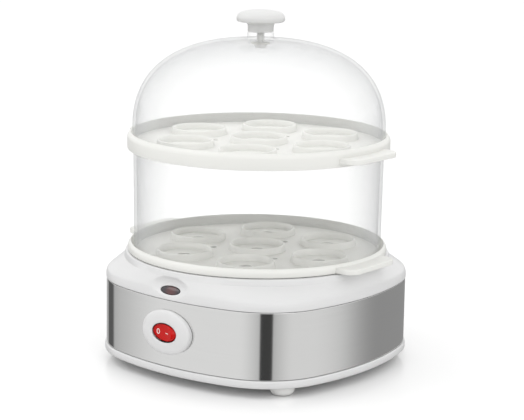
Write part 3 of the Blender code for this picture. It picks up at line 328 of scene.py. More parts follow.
def clearMoulding(name, hexCode, edgeShadeHex):
    # Clear moulded plastic a couple of millimetres thick: it only shows where the wall is seen edge on,
    # and by its gloss. Towards the edge-on wall it is painted grey and made more opaque: painted shade
    # standing in for the darkening that refraction gives there.
    finish, tree, shader = newFinish(name)
    facing = addNode(tree, "ShaderNodeLayerWeight", values={"Blend": 0.32})
    # painted shade: the colour turns grey where the wall is seen edge on
    tint = addNode(tree, "ShaderNodeMix", settings={"data_type": "RGBA"},
                   values={"A": toLinear(hexCode), "B": toLinear(edgeShadeHex)},
                   links={"Factor": facing.outputs["Facing"]})
    tree.links.new(tint.outputs["Result"], shader.inputs["Base Color"])
    solid = addNode(tree, "ShaderNodeMapRange", links={"Value": facing.outputs["Facing"]},
                    values={"From Min": 0.15, "From Max": 1.0, "To Min": 0.02, "To Max": 0.5})
    tree.links.new(solid.outputs[0], shader.inputs["Alpha"])
    shader.inputs["Roughness"].default_value = 0.04
    shader.inputs["IOR"].default_value = 1.49
    return finish


whiteAbs = mouldedPlastic("white_abs_satin_moulded", "D2D2D2", 0.3)  # even, softly glossy white
knobAbs = mouldedPlastic("white_abs_knob", "CECECD", 0.32)  # the same white, a little greyer
trayPolypropylene = mouldedPlastic("warm_white_polypropylene", "DCDCD8", 0.38, grain=0.8)
footPolymer = mouldedPlastic("white_foot_elastomer", "D8D8D6", 0.6, depth=0.05)
blackNylon = mouldedPlastic("black_nylon_textured", "1E1E1E", 0.5, depth=0.05, tone=0.2)
bakelite = mouldedPlastic("brown_phenolic_pressed", "3A2A22", 0.42, depth=0.04, tone=0.3)
nylon = mouldedPlastic("natural_nylon_moulded", "DCD8C8", 0.45, tone=0.08)
whiteNylon = mouldedPlastic("white_nylon_moulded", "DADAD8", 0.4, tone=0.04)
silicone = mouldedPlastic("silicone_moulded", "CFCCC4", 0.62, depth=0.04, tone=0.06)
redRocker = mouldedPlastic("red_polycarbonate_lens", "C80804", 0.14, depth=0.01, tone=0.3,
                           Specular_IOR_Level=0.25)
markInk = mouldedPlastic("white_pad_print", "F2EDE8", 0.5, tone=0.08)
smokedLens = smokedWindow("smoked_polycarbonate_lens", "38363A", "5C3A3A", 0.14)
neonGlass = mouldedPlastic("neon_lamp_glass", "D88858", 0.08, tone=0.1, Transmission_Weight=0.6)
redSleeve = mouldedPlastic("red_wire_sleeve", "B01818", 0.45, tone=0.15)
blueSleeve = mouldedPlastic("blue_wire_sleeve", "2A5AA0", 0.45, tone=0.15)
whiteSleeve = mouldedPlastic("white_wire_sleeve", "D8D4C8", 0.6, tone=0.12)
brushedSteel = brushedSheet("brushed_stainless_sheet", "F0F0EF", 0.09)
spunSteel = spunSheet("spun_stainless_dish", "C8C6C2", 0.25)
heaterSheath = smallMetal("heater_sheath_steel", "A8A49C", 0.35, 3.0)
zincPlate = smallMetal("bright_zinc_plate", "C4C4BE", 0.28)
brass = smallMetal("stamped_brass", "C8A050", 0.3)
# the second grey is painted shade for the edge-on wall
clearPlastic = clearMoulding("clear_styrene_moulding", "F4F5F5", "B8BABC")
print("finishes: done")


def finishPiece(name, bm, finish, body, replaced=(), sharp=30.0):
    mesh = bpy.data.meshes.new(name)
    bm.to_mesh(mesh)
    bm.free()
    return dressPiece(name, mesh, finish, body, replaced, sharp)


def dressPiece(name, mesh, finish, body, replaced=(), sharp=30.0):
    mesh.name = name
    mesh.shade_smooth()
    mesh.set_sharp_from_angle(angle=math.radians(sharp))
    mesh.materials.clear()
    mesh.materials.append(finish)
    piece = bpy.data.objects.new(name, mesh)
    bpy.context.scene.collection.objects.link(piece)
    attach(piece, body)
    if replaced:
        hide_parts(*replaced)
    return piece


def combine(bm, steps):
    # runs (operation, tool mesh) Booleans on bm one after another and gives the mesh
    mesh = bpy.data.meshes.new("work")
    bm.to_mesh(mesh)
    bm.free()
    work = bpy.data.objects.new("work", mesh)
    bpy.context.scene.collection.objects.link(work)
    spare = [work]
    for operation, toolBm in steps:
        toolMesh = bpy.data.meshes.new("tool")
        toolBm.to_mesh(toolMesh)
        toolBm.free()
        tool = bpy.data.objects.new("tool", toolMesh)
        bpy.context.scene.collection.objects.link(tool)
        modifier = work.modifiers.new(operation, "BOOLEAN")
        modifier.operation = operation
        modifier.solver = "EXACT"
        modifier.object = tool
        spare.append(tool)
    bpy.context.view_layer.update()
    shaped = bpy.data.meshes.new_from_object(work.evaluated_get(bpy.context.evaluated_depsgraph_get()))
    for thing in spare:
        bpy.data.objects.remove(thing)
    return shaped


def newEdges(geom):
    verts = {item for item in geom if isinstance(item, bmesh.types.BMVert)}
    return verts, [item for item in geom
                   if isinstance(item, bmesh.types.BMEdge)
                   and item.verts[0] in verts and item.verts[1] in verts]


def startLoop(bm, count, placeAt):
    # a loop of count vertices, each remembering how far round it is
    turn = bm.verts.layers.float.new("turn")
    ring = bmesh.ops.create_circle(bm, cap_ends=False, segments=count, radius=1.0)["verts"]
    for vert in ring:
        vert[turn] = math.atan2(vert.co.y, vert.co.x)
        vert.co = Vector(placeAt(vert[turn])) * mm
    return list({edge for vert in ring for edge in vert.link_edges})


def pullLoop(bm, edges, placeAt):
    # extrudes the loop and sets it at its next place
    turn = bm.verts.layers.float["turn"]
    verts, pulled = newEdges(bmesh.ops.extrude_edge_only(bm, edges=edges)["geom"])
    for vert in verts:
        vert.co = Vector(placeAt(vert[turn])) * mm
    return pulled


def loft(count, places, closed=False, capped=True):
    # pulls one loop through all its places; a closed loft ends where it began
    bm = bmesh.new()
    first = edges = startLoop(bm, count, places[0])
    for placeAt in places[1:]:
        edges = pullLoop(bm, edges, placeAt)
    if closed:
        pullLoop(bm, edges, places[0])
        bmesh.ops.remove_doubles(bm, verts=bm.verts, dist=0.001 * mm)
    elif capped:
        bmesh.ops.edgeloop_fill(bm, edges=first)
        bmesh.ops.edgeloop_fill(bm, edges=edges)
    bmesh.ops.recalc_face_normals(bm, faces=bm.faces)
    return bm


def turned(profile, steps=128):
    # spins (radius, height) points round Z; a profile that starts off the axis is closed
    bm = bmesh.new()
    verts = [bm.verts.new((radius * mm, 0, height * mm)) for radius, height in profile]
    edges = [bm.edges.new(pair) for pair in zip(verts, verts[1:])]
    if profile[0][0] > 0:
        edges.append(bm.edges.new((verts[-1], verts[0])))
    bmesh.ops.spin(bm, geom=verts + edges, cent=(0, 0, 0), axis=(0, 0, 1), angle=math.tau,
                   steps=steps, use_merge=True)
    bmesh.ops.remove_doubles(bm, verts=bm.verts, dist=0.001 * mm)
    bmesh.ops.recalc_face_normals(bm, faces=bm.faces)
    return bm


def softenEdges(bm, width, segments=3, sharper=28.0, where=None):
    # rounds every edge that turns more than sharper degrees
    limit = math.radians(sharper)
    edges = [edge for edge in bm.edges if len(edge.link_faces) == 2
             and edge.calc_face_angle(0.0) > limit and (where is None or where(edge))]
    bmesh.ops.bevel(bm, geom=edges, offset=width * mm, offset_type="OFFSET", segments=segments,
                    profile=0.5, affect="EDGES", material=-1, clamp_overlap=True)
    return bm


def shifted(bm, x=0.0, y=0.0, z=0.0, turnMatrix=None):
    move = Matrix.Translation(Vector((x, y, z)) * mm) @ (turnMatrix or Matrix.Identity(4))
    bmesh.ops.transform(bm, matrix=move, verts=bm.verts)
    return bm


def rods(places, radius, low, high, sides=32):
    bm = bmesh.new()
    for x, y in places:
        bmesh.ops.create_cone(bm, cap_ends=True, segments=sides, radius1=radius * mm, radius2=radius * mm,
                              depth=(high - low) * mm,
                              matrix=Matrix.Translation(Vector((x, y, (low + high) / 2)) * mm))
    return bm


def addTo(bm, other):
    spare = bpy.data.meshes.new("spare")
    other.to_mesh(spare)
    other.free()
    bm.from_mesh(spare)
    bpy.data.meshes.remove(spare)
    return bm


def smoothLine(points, steps=6):
    # a Catmull-Rom line through (a, b) points
    ends = [points[0]] + list(points) + [points[-1]]
    line = []
    for i in range(1, len(ends) - 2):
        p0, p1, p2, p3 = [Vector(p) for p in ends[i - 1:i + 3]]
        for k in range(steps):
            t = k / steps
            line.append(tuple(0.5 * (2 * p1 + (p2 - p0) * t + (2 * p0 - 5 * p1 + 4 * p2 - p3) * t ** 2
                                     + (3 * p1 - p0 - 3 * p2 + p3) * t ** 3)))
    return line + [tuple(points[-1])]


def level(node, corner, axis="z"):
    # one side of a CAD node's box, in millimetres
    return getattr(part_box(node)[corner], axis) / mm


low, high = 0, 1

basePlan = {
    "halfWidth": level("steel_band", high, "x"),
    "sideBulge": 158.7,
    "corner": 46.6,
    "points": 240,
}


def planRadius(angle):
    # distance from the axis to the outline: bulged sides run smoothly into round corners
    half, bulge, corner = basePlan["halfWidth"], basePlan["sideBulge"], basePlan["corner"]
    side = half - bulge
    centre = (side + math.sqrt(2 * (bulge - corner) ** 2 - side ** 2)) / 2
    folded = abs((angle + math.pi / 4) % (math.pi / 2) - math.pi / 4)
    meeting = math.atan2(centre, centre - side)
    if folded <= math.atan2(bulge * math.sin(meeting), side + bulge * math.cos(meeting)):
        return side * math.cos(folded) + math.sqrt(bulge ** 2 - (side * math.sin(folded)) ** 2)
    along = centre * (math.cos(folded) + math.sin(folded))
    return along + math.sqrt(along ** 2 - 2 * centre ** 2 + corner ** 2)


def planLoop(offset, height, roundRadius=0.0, share=0.0):
    # the outline moved out by offset and taken share of the way to a circle
    def placeAt(angle):
        radius = (planRadius(angle) + offset) * (1 - share) + roundRadius * share
        return (radius * math.cos(angle), radius * math.sin(angle), height)
    return placeAt


def roundLoop(radius, height):
    return planLoop(0.0, height, radius, 1.0)


def frontSurface(x):
    # how far out the steel's front face is at x
    return math.sqrt(basePlan["sideBulge"] ** 2 - x ** 2) - (basePlan["sideBulge"] - basePlan["halfWidth"])


light = {
    "inset": 2.6, "rise": 5.3, "tilt": 35.0,
    "halfWidth": 7.1, "halfHeight": 2.5, "thickness": 2.6, "crown": 0.7,
    "scoopWidth": 15.0, "scoopDepth": 5.0, "scoopHeight": 6.5, "scoopBlend": 0.9,
    "wall": 1.8, "patchWidth": 19.0, "patchHeight": 11.0, "patchOut": 8.0, "patchIn": 5.0,
}


def lightFrame():
    # local -Y points out of the lens, tipped upwards
    centre = Vector((0, light["inset"] - basePlan["halfWidth"], level("steel_band", high) + light["rise"]))
    return Matrix.Translation(centre * mm) @ Matrix.Rotation(math.radians(-light["tilt"]), 4, "X")


def ovalLoop(halfWidth, halfHeight, y, centreHeight=0.0):
    return lambda angle: (halfWidth * math.cos(angle), y, centreHeight + halfHeight * math.sin(angle))


housing = {
    "skirt": -0.9, "lipProud": 0.2, "lip": 3.0, "rise": 9.4,
    "collarRadius": 79.0, "collarTaper": 0.7, "collarLedge": 2.7,
    "recess": 4.5, "pocket": 2.6, "flangeRadius": 65.3, "opening": 61.3, "wall": 2.2,
    "postRadius": 3.4, "pilotRadius": 1.7, "pilotTop": 24.6, "edge": 0.5,
    "deck": [(0, 0), (0.05, 0.2), (0.14, 0.34), (0.3, 0.48), (0.6, 0.72), (1, 1)],
}
gap = 0.3
bandLow, bandTop = level("steel_band", low), level("steel_band", high)
lipLow = bandTop + gap
deckEdge = lipLow + housing["lip"]
collarTop = level("upper_housing", high)
screwPlaces = [((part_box(name)[low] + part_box(name)[high]) / 2 / mm).to_2d().to_tuple()
               for name in ("screw_back_right", "screw_back_left", "screw_front_left", "screw_front_right")]
switchHeight = (level("switch_bezel", low) + level("switch_bezel", high)) / 2
glandHeight = (level("cord_gland", low) + level("cord_gland", high)) / 2


def switchOpening():
    smallest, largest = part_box("switch_body")
    bm = bmesh.new()
    flange = 2.0 - gap
    size = Vector(((largest.x - smallest.x) / mm - 2 * flange, 20,
                   (largest.z - smallest.z) / mm - 2 * flange))
    centre = Vector((0, -basePlan["halfWidth"], switchHeight))
    bmesh.ops.create_cube(bm, size=1.0, matrix=Matrix.Translation(centre * mm)
                          @ Matrix.Diagonal((*(size * mm), 1.0)))
    return bm


def glandHole():
    hole = rods([(0, 0)], 5.0, 70.0, 90.0, 48)
    return shifted(hole, z=glandHeight, turnMatrix=Matrix.Rotation(-math.pi / 2, 4, "X"))


def carveScoop(bm):
    # presses an oval hollow with a soft edge into the deck round the light
    toLight = lightFrame().inverted()

    def inPatch(spot):
        return (abs(spot.x) <= light["patchWidth"] and abs(spot.z) <= light["patchHeight"]
                and -light["patchOut"] < spot.y < light["patchIn"])

    near = [face for face in bm.faces if inPatch(toLight @ face.calc_center_median() / mm)]
    edges = list({edge for face in near for edge in face.edges})
    bmesh.ops.subdivide_edges(bm, edges=edges, cuts=3, use_grid_fill=True)
    bm.normal_update()
    toWorld = toLight.inverted()
    for vert in bm.verts:
        spot = toLight @ vert.co / mm
        if not inPatch(spot):
            continue
        reach = (spot.x / light["scoopWidth"]) ** 2 + (spot.z / light["scoopHeight"]) ** 2
        depth = light["scoopDepth"]
        hollow = -depth + depth * math.sqrt(1 - reach) if reach < 1 else -depth - 12 * (reach - 1)
        outward = (toLight.to_3x3() @ vert.normal).y < 0
        if outward:
            blend = light["scoopBlend"]
            depthNow = 0.5 * (spot.y + hollow + math.hypot(spot.y - hollow, blend))
            if depthNow - spot.y > 0.01:
                spot.y = depthNow
        else:
            spot.y = max(spot.y, hollow + light["wall"])
        vert.co = toWorld @ (spot * mm)


def makeHousing():
    shape = housing
    seat = collarTop - shape["recess"]
    pocket = seat - shape["pocket"]
    collarOuter = shape["collarRadius"] - shape["collarTaper"]
    collarInner = collarOuter - shape["collarLedge"]
    inner = shape["skirt"] - shape["wall"]
    places = [planLoop(shape["skirt"], bandLow), planLoop(shape["skirt"], lipLow),
              planLoop(shape["lipProud"], lipLow), planLoop(shape["lipProud"], deckEdge)]
    for share, rise in smoothLine(shape["deck"])[1:]:
        places.append(planLoop(shape["lipProud"], deckEdge + rise * shape["rise"], shape["collarRadius"],
                               share))
    places += [roundLoop(collarOuter, collarTop), roundLoop(collarInner, collarTop),
               roundLoop(collarInner, seat), roundLoop(shape["flangeRadius"], seat),
               roundLoop(shape["flangeRadius"], pocket), roundLoop(shape["opening"], pocket),
               roundLoop(shape["opening"], pocket - 2.0),
               roundLoop(shape["flangeRadius"] + 2.2, pocket - 2.0),
               roundLoop(shape["flangeRadius"] + 2.2, seat - 2.0), roundLoop(collarInner - 1.0, seat - 2.0),
               planLoop(inner, deckEdge + 3.6, collarInner, 0.5), planLoop(inner, deckEdge - 1.1),
               planLoop(inner, bandLow)]
    bm = loft(basePlan["points"], places, closed=True)
    rounded = (lipLow, collarTop)
    softenEdges(bm, shape["edge"], 3, 14.0, where=lambda edge: any(
        all(abs(vert.co.z / mm - height) < 0.02 for vert in edge.verts) for height in rounded))
    carveScoop(bm)
    posts = rods(screwPlaces, shape["postRadius"], level("bottom_plate", low) + 2.5 + 3.4 + gap, seat - 1.0)
    pilots = rods(screwPlaces, shape["pilotRadius"], 0.0, shape["pilotTop"])
    slot = loft(64, [ovalLoop(light["halfWidth"] + gap, light["halfHeight"] + gap, y) for y in (12.0, -6.0)])
    bmesh.ops.transform(slot, matrix=lightFrame(), verts=slot.verts)
    mesh = combine(bm, [("UNION", posts), ("DIFFERENCE", pilots), ("DIFFERENCE", slot),
                        ("DIFFERENCE", switchOpening()), ("DIFFERENCE", glandHole())])
    dressPiece("housing_shell", mesh, whiteAbs, "base", ("upper_housing",))


def makeLens():
    rim = [(1.0, light["thickness"]), (1.0, -0.1)]
    for share in (0.985, 0.95, 0.88, 0.76, 0.58, 0.36, 0.14):
        rim.append((share, -0.1 - light["crown"] * math.sqrt(1 - share ** 2)))
    bm = loft(72, [ovalLoop(light["halfWidth"] * share, light["halfHeight"] * share, y) for share, y in rim])
    bmesh.ops.transform(bm, matrix=lightFrame(), verts=bm.verts)
    finishPiece("light_lens", bm, smokedLens, "base", ("indicator_lens",))


def makeBand():
    # a loop just inside each edge keeps the face between them upright for the mirroring
    places = [planLoop(-0.6, bandLow), planLoop(0.0, bandLow), planLoop(0.0, bandLow + 0.5),
              planLoop(0.0, bandTop - 0.5), planLoop(0.0, bandTop), planLoop(-0.6, bandTop)]
    bm = softenEdges(loft(basePlan["points"], places, closed=True), 0.18, 2, 60.0)
    mesh = combine(bm, [("DIFFERENCE", switchOpening()), ("DIFFERENCE", glandHole())])
    dressPiece("wrap_band", mesh, brushedSteel, "base", ("steel_band",))


makeHousing()
makeLens()
makeBand()
print("housing, lens and band: done")

plate = {
    "bottom": level("bottom_plate", low), "rim": 4.5, "floor": 2.5, "proud": 1.0, "lipHeight": 3.7,
    "padRadius": 5.0, "padHeight": 3.4, "recessRadius": 3.2, "recessDepth": 2.8, "pegRadius": 3.0,
    "vents": 8, "ventLength": 16.0, "ventWidth": 3.0, "ventRadius": 30.0,
}
foot = {"radius": 7.2, "pegRadius": 2.7, "pegTop": 8.0, "flat": 3.4}
screw = {"head": 2.9, "headHeight": 2.2, "shank": 1.4, "cross": 2.6, "crossWidth": 0.7, "crossDepth": 1.3}
footNames = ("foot_back_right", "foot_back_left", "foot_front_left", "foot_front_right")
footPlaces = [((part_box(name)[low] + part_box(name)[high]) / 2 / mm).to_2d().to_tuple() for name in footNames]


def makeBottomPlate():
    bottom = plate["bottom"]
    rimTop = bottom + plate["rim"]
    floorTop = bottom + plate["floor"]
    lip = housing["skirt"] - housing["wall"] - gap
    curve = [(0.2, bottom), (0.62, bottom + 0.35), (0.88, bottom + 0.9), (plate["proud"], bottom + 1.8),
             (plate["proud"], rimTop - 1.2), (0.88, rimTop - 0.5), (0.6, rimTop)]
    places = [planLoop(offset, height) for offset, height in curve]
    places += [planLoop(lip, rimTop), planLoop(lip, rimTop + plate["lipHeight"]),
               planLoop(lip - 2.0, rimTop + plate["lipHeight"]), planLoop(lip - 2.0, floorTop)]
    bm = loft(basePlan["points"], places)
    vents = bmesh.new()
    for i in range(plate["vents"]):
        slotBm = loft(32, [lambda a, z=z: (
            plate["ventRadius"] + math.copysign((plate["ventLength"] - plate["ventWidth"]) / 2, math.cos(a))
            + plate["ventWidth"] / 2 * math.cos(a), plate["ventWidth"] / 2 * math.sin(a), z)
                         for z in (0, 20)])
        turn = Matrix.Rotation(math.tau * (i + 0.5) / plate["vents"], 4, "Z")
        addTo(vents, shifted(slotBm, turnMatrix=turn))
    pads = rods(screwPlaces, plate["padRadius"], floorTop - 1.0, floorTop + plate["padHeight"])
    holes = rods(screwPlaces, screw["shank"] + gap, 0.0, 3 * floorTop)
    recesses = rods(screwPlaces, plate["recessRadius"], 0.0, bottom + plate["recessDepth"], 48)
    pegs = rods(footPlaces, plate["pegRadius"], 0.0, 2 * floorTop)
    mesh = combine(bm, [("UNION", pads), ("DIFFERENCE", holes), ("DIFFERENCE", recesses),
                        ("DIFFERENCE", pegs), ("DIFFERENCE", vents)])
    dressPiece("base_plate", mesh, whiteAbs, "base", ("bottom_plate",))


def makeFeet():
    footTop = plate["bottom"] - gap
    edge = foot["radius"]
    side = smoothLine([(foot["flat"], 0.0), (0.76 * edge, 0.7), (0.92 * edge, 1.9), (edge, 3.6),
                       (edge, footTop)], 4)
    profile = [(0.0, 0.0)] + side + [(foot["pegRadius"], footTop), (foot["pegRadius"], foot["pegTop"]),
                                     (0.0, foot["pegTop"])]
    for name, (x, y) in zip(footNames, footPlaces):
        finishPiece("round_" + name, shifted(turned(profile, 72), x, y), footPolymer, "base",
                    (name,))


def makeScrews():
    names = ("screw_back_right", "screw_back_left", "screw_front_left", "screw_front_right")
    for name, (x, y) in zip(names, screwPlaces):
        headLow = level(name, low)
        tip = level(name, high)
        headTop = headLow + screw["headHeight"]
        profile = [(0.0, headLow), (screw["head"] - 1.0, headLow), (screw["head"] - 0.3, headLow + 0.25),
                   (screw["head"], headLow + 0.8), (screw["head"], headTop), (screw["shank"], headTop)]
        turns = 14
        for i in range(turns):
            z = headTop + (tip - 1.2 - headTop) * (i + 0.5) / turns
            profile += [(screw["shank"] - 0.3, z - 0.25), (screw["shank"], z + 0.1)]
        profile += [(0.0, tip)]
        cuts = []
        for size in ((screw["cross"], screw["crossWidth"]), (screw["crossWidth"], screw["cross"])):
            bar = bmesh.new()
            bmesh.ops.create_cube(bar, size=1.0, matrix=Matrix.Translation(Vector((0, 0, headLow)) * mm)
                                  @ Matrix.Diagonal((size[0] * mm, size[1] * mm,
                                                     2 * screw["crossDepth"] * mm, 1)))
            cuts.append(("DIFFERENCE", bar))
        mesh = combine(turned(profile, 48), cuts)
        mesh.transform(Matrix.Translation(Vector((x, y, 0)) * mm))
        dressPiece("cross_" + name, mesh, zincPlate, "base", (name,))


makeBottomPlate()
makeFeet()
makeScrews()
print("plate, feet and screws: done")

bezel = {
    "halfWidth": level("switch_bezel", high, "x"), "halfHeight": 12.9, "edge": 1.3,
    "proud": -level("switch_bezel", low, "y") - basePlan["halfWidth"],
    "openWidth": 8.95, "openHeight": 5.65, "linerWidth": 8.55, "linerHeight": 5.25, "linerInset": 0.35,
    "steps": 10,
}
rocker = {
    "halfWidth": 8.2, "halfHeight": 4.9, "faceDepth": 6.2, "hollow": 0.7, "hollowRadius": 30.0,
    "backDepth": 2.0, "tilt": 10.0, "edge": 0.4, "axleRadius": level("rocker_axle", high, "x"),
    "markOffset": 4.1, "markWidth": 0.95, "markHeight": 1.35, "stroke": 0.42, "markProud": 0.07,
    "dashHalf": 1.5,
}
rockerJoint = next(joint for joint in frame["joints"] if joint["child"] == "rocker")


def makeBezel():
    wide, tall = bezel["halfWidth"], bezel["halfHeight"]
    face = basePlan["halfWidth"] + bezel["proud"]
    front = basePlan["halfWidth"] + bezel["edge"]

    def backLoop(halfWidth, halfHeight):
        return lambda a: (halfWidth * math.cos(a), -(frontSurface(halfWidth * math.cos(a)) + gap),
                          switchHeight + halfHeight * math.sin(a))

    places = [backLoop(wide, tall), ovalLoop(wide, tall, -(front - 0.35), switchHeight)]
    inWide, inTall = bezel["openWidth"] + 0.5, bezel["openHeight"] + 0.5
    for i in range(bezel["steps"] + 1):
        swing = math.pi / 2 * i / bezel["steps"]
        share = 1 - math.cos(swing)      # 0 at the edge, 1 at the opening
        lift = math.sin(swing) ** 0.8
        places.append(ovalLoop(wide + (inWide - wide) * share, tall + (inTall - tall) * share,
                               -(front + (face - front) * lift), switchHeight))
    places += [ovalLoop(bezel["openWidth"] + 0.15, bezel["openHeight"] + 0.15, -(face - 0.12), switchHeight),
               ovalLoop(bezel["openWidth"], bezel["openHeight"], -(face - 0.5), switchHeight),
               backLoop(bezel["openWidth"], bezel["openHeight"])]
    bm = loft(128, places, closed=True)
    # A black lining round the inside of the bezel opening: a dark sheet put in as painted shade for the gap
    # round the rocker.
    outWide, outTall = bezel["openWidth"] - 0.05, bezel["openHeight"] - 0.05
    linerFace = -(face - bezel["linerInset"])
    liner = loft(128, [backLoop(outWide, outTall), ovalLoop(outWide, outTall, linerFace, switchHeight),
                       ovalLoop(bezel["linerWidth"], bezel["linerHeight"], linerFace, switchHeight),
                       backLoop(bezel["linerWidth"], bezel["linerHeight"])], closed=True)
    barrelBm = rockerRoom()
    gapShadeLining = combine(liner, [("DIFFERENCE", rockerRoom())])
    dressPiece("switch_gap_shade_liner", gapShadeLining, blackNylon, "base", (), 40.0)
    mesh = combine(bm, [("DIFFERENCE", barrelBm)])
    dressPiece("switch_surround", mesh, whiteAbs, "base", ("switch_bezel",), 40.0)


def rockerRoom():
    # the room the rocker's turned sides swing in
    barrel = turned([(0.0, -rocker["halfHeight"] - gap)] + [
        (barrelRadius(z) + 0.35, z * (rocker["halfHeight"] + gap) / rocker["halfHeight"])
        for z in [rocker["halfHeight"] * (-1 + 2 * i / 24) for i in range(25)]]
        + [(0.0, rocker["halfHeight"] + gap)], 128)
    pivot = Vector(rockerJoint["pos_m"])
    bmesh.ops.transform(barrel, matrix=Matrix.Translation(pivot), verts=barrel.verts)
    return barrel


def barrelRadius(z):
    # the rocker's sides are turned about its pivot, so its outline holds while it rocks
    across = math.sqrt(max(0.0, 1 - (z / rocker["halfHeight"]) ** 2))
    flat = rocker["faceDepth"] - rocker["hollow"]
    return math.hypot(rocker["halfWidth"] * across, flat + rocker["hollow"] * across)


def faceDepth(x):
    return (rocker["faceDepth"] - rocker["hollow"] + rocker["hollowRadius"]
            - math.sqrt(rocker["hollowRadius"] ** 2 - x ** 2))


def rimWidth(z):
    width = 0.0
    for _ in range(30):
        width = math.sqrt(max(0.0, barrelRadius(z) ** 2 - faceDepth(width) ** 2))
    return width


def rockerPlace(bm):
    # from the pivot's own frame to the rocker's place at rest
    pivot = Vector(rockerJoint["pos_m"])
    rest = Matrix.Rotation(math.radians(-rocker["tilt"]), 4, "Z")
    bmesh.ops.transform(bm, matrix=Matrix.Translation(pivot) @ rest, verts=bm.verts)
    return bm


def makeRocker():
    count = 96
    half = rocker["halfHeight"]

    def faceLoop(share):
        def placeAt(angle):
            bearing = angle + math.pi / count
            z = half * math.sin(bearing)
            x = math.copysign(rimWidth(z), math.cos(bearing)) * share
            return (x, -faceDepth(x), z * share)
        return placeAt

    def sideLoop(share):
        def placeAt(angle):
            bearing = angle + math.pi / count
            z = half * math.sin(bearing)
            radius = barrelRadius(z)
            start = math.atan2(rimWidth(z), faceDepth(rimWidth(z)))
            end = math.acos(-rocker["backDepth"] / radius)
            swing = start + (end - start) * share
            return (math.copysign(radius * math.sin(swing), math.cos(bearing)), -radius * math.cos(swing), z)
        return placeAt

    places = [faceLoop(share) for share in (0.12, 0.35, 0.6, 0.8, 0.93, 1.0)]
    places += [sideLoop(share) for share in (0.15, 0.3, 0.5, 0.7, 0.85, 1.0)]
    bm = loft(count, places)
    softenEdges(bm, rocker["edge"], 3, 35.0, where=lambda edge: all(
        abs(vert.co.y / mm + faceDepth(vert.co.x / mm)) < 0.01 for vert in edge.verts))
    hole = rods([(0, 0)], rocker["axleRadius"] + gap, -2 * half, 2 * half)
    mesh = combine(rockerPlace(bm), [("DIFFERENCE", rockerPlace(hole))])
    dressPiece("rocker_button", mesh, redRocker, "rocker", ("switch_rocker",), 40.0)

    def markLoop(offset, halfWidth, halfHeight, lift):
        def placeAt(angle):
            x = offset + halfWidth * math.cos(angle)
            return (x, -(faceDepth(x) + lift), halfHeight * math.sin(angle))
        return placeAt

    proud, stroke = rocker["markProud"], rocker["stroke"] / 2
    wide, tall = rocker["markWidth"], rocker["markHeight"]
    ring = loft(48, [markLoop(-rocker["markOffset"], wide + s * stroke, tall + s * stroke, lift)
                     for s, lift in ((-1, -0.1), (-1, proud), (1, proud), (1, -0.1))], closed=True)
    finishPiece("rocker_off_mark", rockerPlace(ring), markInk, "rocker")
    dash = loft(48, [markLoop(rocker["markOffset"] - 0.8, rocker["dashHalf"], stroke, lift)
                     for lift in (-0.1, proud)])
    finishPiece("rocker_on_mark", rockerPlace(dash), markInk, "rocker")


makeBezel()
makeRocker()
print("switch: done")

gland = {"bore": 3.2, "neck": 4.7, "flange": 7.5, "flangeThickness": 2.1, "ribs": 2, "ribDepth": 0.35}
dish = {"wall": 1.0}


def makeGland():
    back, tip = level("cord_gland", low, "y"), level("cord_gland", high, "y")
    face = basePlan["halfWidth"] + gap
    step = face + gland["flangeThickness"]
    profile = [(gland["bore"], back), (gland["neck"], back), (gland["neck"], face),
               (gland["flange"] - 0.3, face),
               (gland["flange"], face + 0.3), (gland["flange"], step - 0.7),
               (gland["flange"] - 0.25, step - 0.2),
               (gland["flange"] - 0.8, step), (gland["neck"] + 0.8, step)]
    length = (tip - step - 0.4) / gland["ribs"]
    for i in range(gland["ribs"]):
        start = step + i * length
        outer = gland["neck"] + 0.7 - 0.15 * i
        profile += [(outer - gland["ribDepth"], start + 0.15), (outer - gland["ribDepth"], start + 0.4),
                    (outer, start + 0.6), (outer, start + length - 0.1)]
    profile += [(gland["neck"] + 0.3, tip), (gland["bore"] + 0.3, tip), (gland["bore"], tip - 0.3)]
    bm = shifted(turned(profile, 96), z=glandHeight, turnMatrix=Matrix.Rotation(-math.pi / 2, 4, "X"))
    finishPiece("rear_gland", bm, blackNylon, "base", ("cord_gland",))


def makeDish():
    seat = level("heating_plate", high)
    flange = level("heating_plate", high, "x")
    wall = dish["wall"]
    floorTop = level("heating_plate", low) + wall
    outer = flange - 4.7
    upper = smoothLine([(outer - 9.0, floorTop), (outer - 3.6, floorTop + 1.1),
                        (outer - 1.3, floorTop + 3.4),
                        (outer - wall, floorTop + 6.2), (outer - wall + 0.5, seat - 0.25),
                        (outer + 0.5, seat)], 5)
    lower = smoothLine([(outer + 0.3, seat - wall), (outer, floorTop + 5.6), (outer - 0.7, floorTop + 3.0),
                        (outer - 3.0, floorTop + 0.25), (outer - 8.8, floorTop - wall)], 5)
    swirl = [(0.0, floorTop), (18.0, floorTop), (19.0, floorTop + 0.35), (20.5, floorTop + 0.35),
             (21.5, floorTop)]
    profile = swirl + upper + [(flange - 0.4, seat), (flange, seat - 0.3), (flange, seat - wall)] + lower
    profile += [(0.0, floorTop - wall)]
    finishPiece("water_dish", turned(profile, 160), spunSteel, "base", ("heating_plate",))


makeGland()
makeDish()
print("gland and dish: done")

tray = {
    "wall": 2.0, "floor": 2.0, "inner": 74.9, "wellRadius": 15.0, "wellWall": 1.8, "wellHeight": 3.8,
    "wellRing": 46.0, "wells": 6, "wellHole": 4.0, "steamHole": 2.2,
    "tabHalf": 22.0, "tabCorner": 7.0, "tabThickness": 3.0, "tabRoot": 0.9, "tabEdge": 1.1,
}
lowerTray = {"floor": 65.3, "rim": 76.8, "rimLow": 65.9, "rimTop": 71.0, "tabLow": 66.3, "spigot": 75.0,
             "spigotLow": 62.0}
upperTray = {"floor": 130.3, "rim": 77.5, "rimLow": 126.8, "rimTop": 136.3, "tabLow": 129.0}
ringOfWells = [(0.0, 0.0)] + [(tray["wellRing"] * math.cos(math.tau * i / tray["wells"]),
                               tray["wellRing"] * math.sin(math.tau * i / tray["wells"]))
                              for i in range(tray["wells"])]


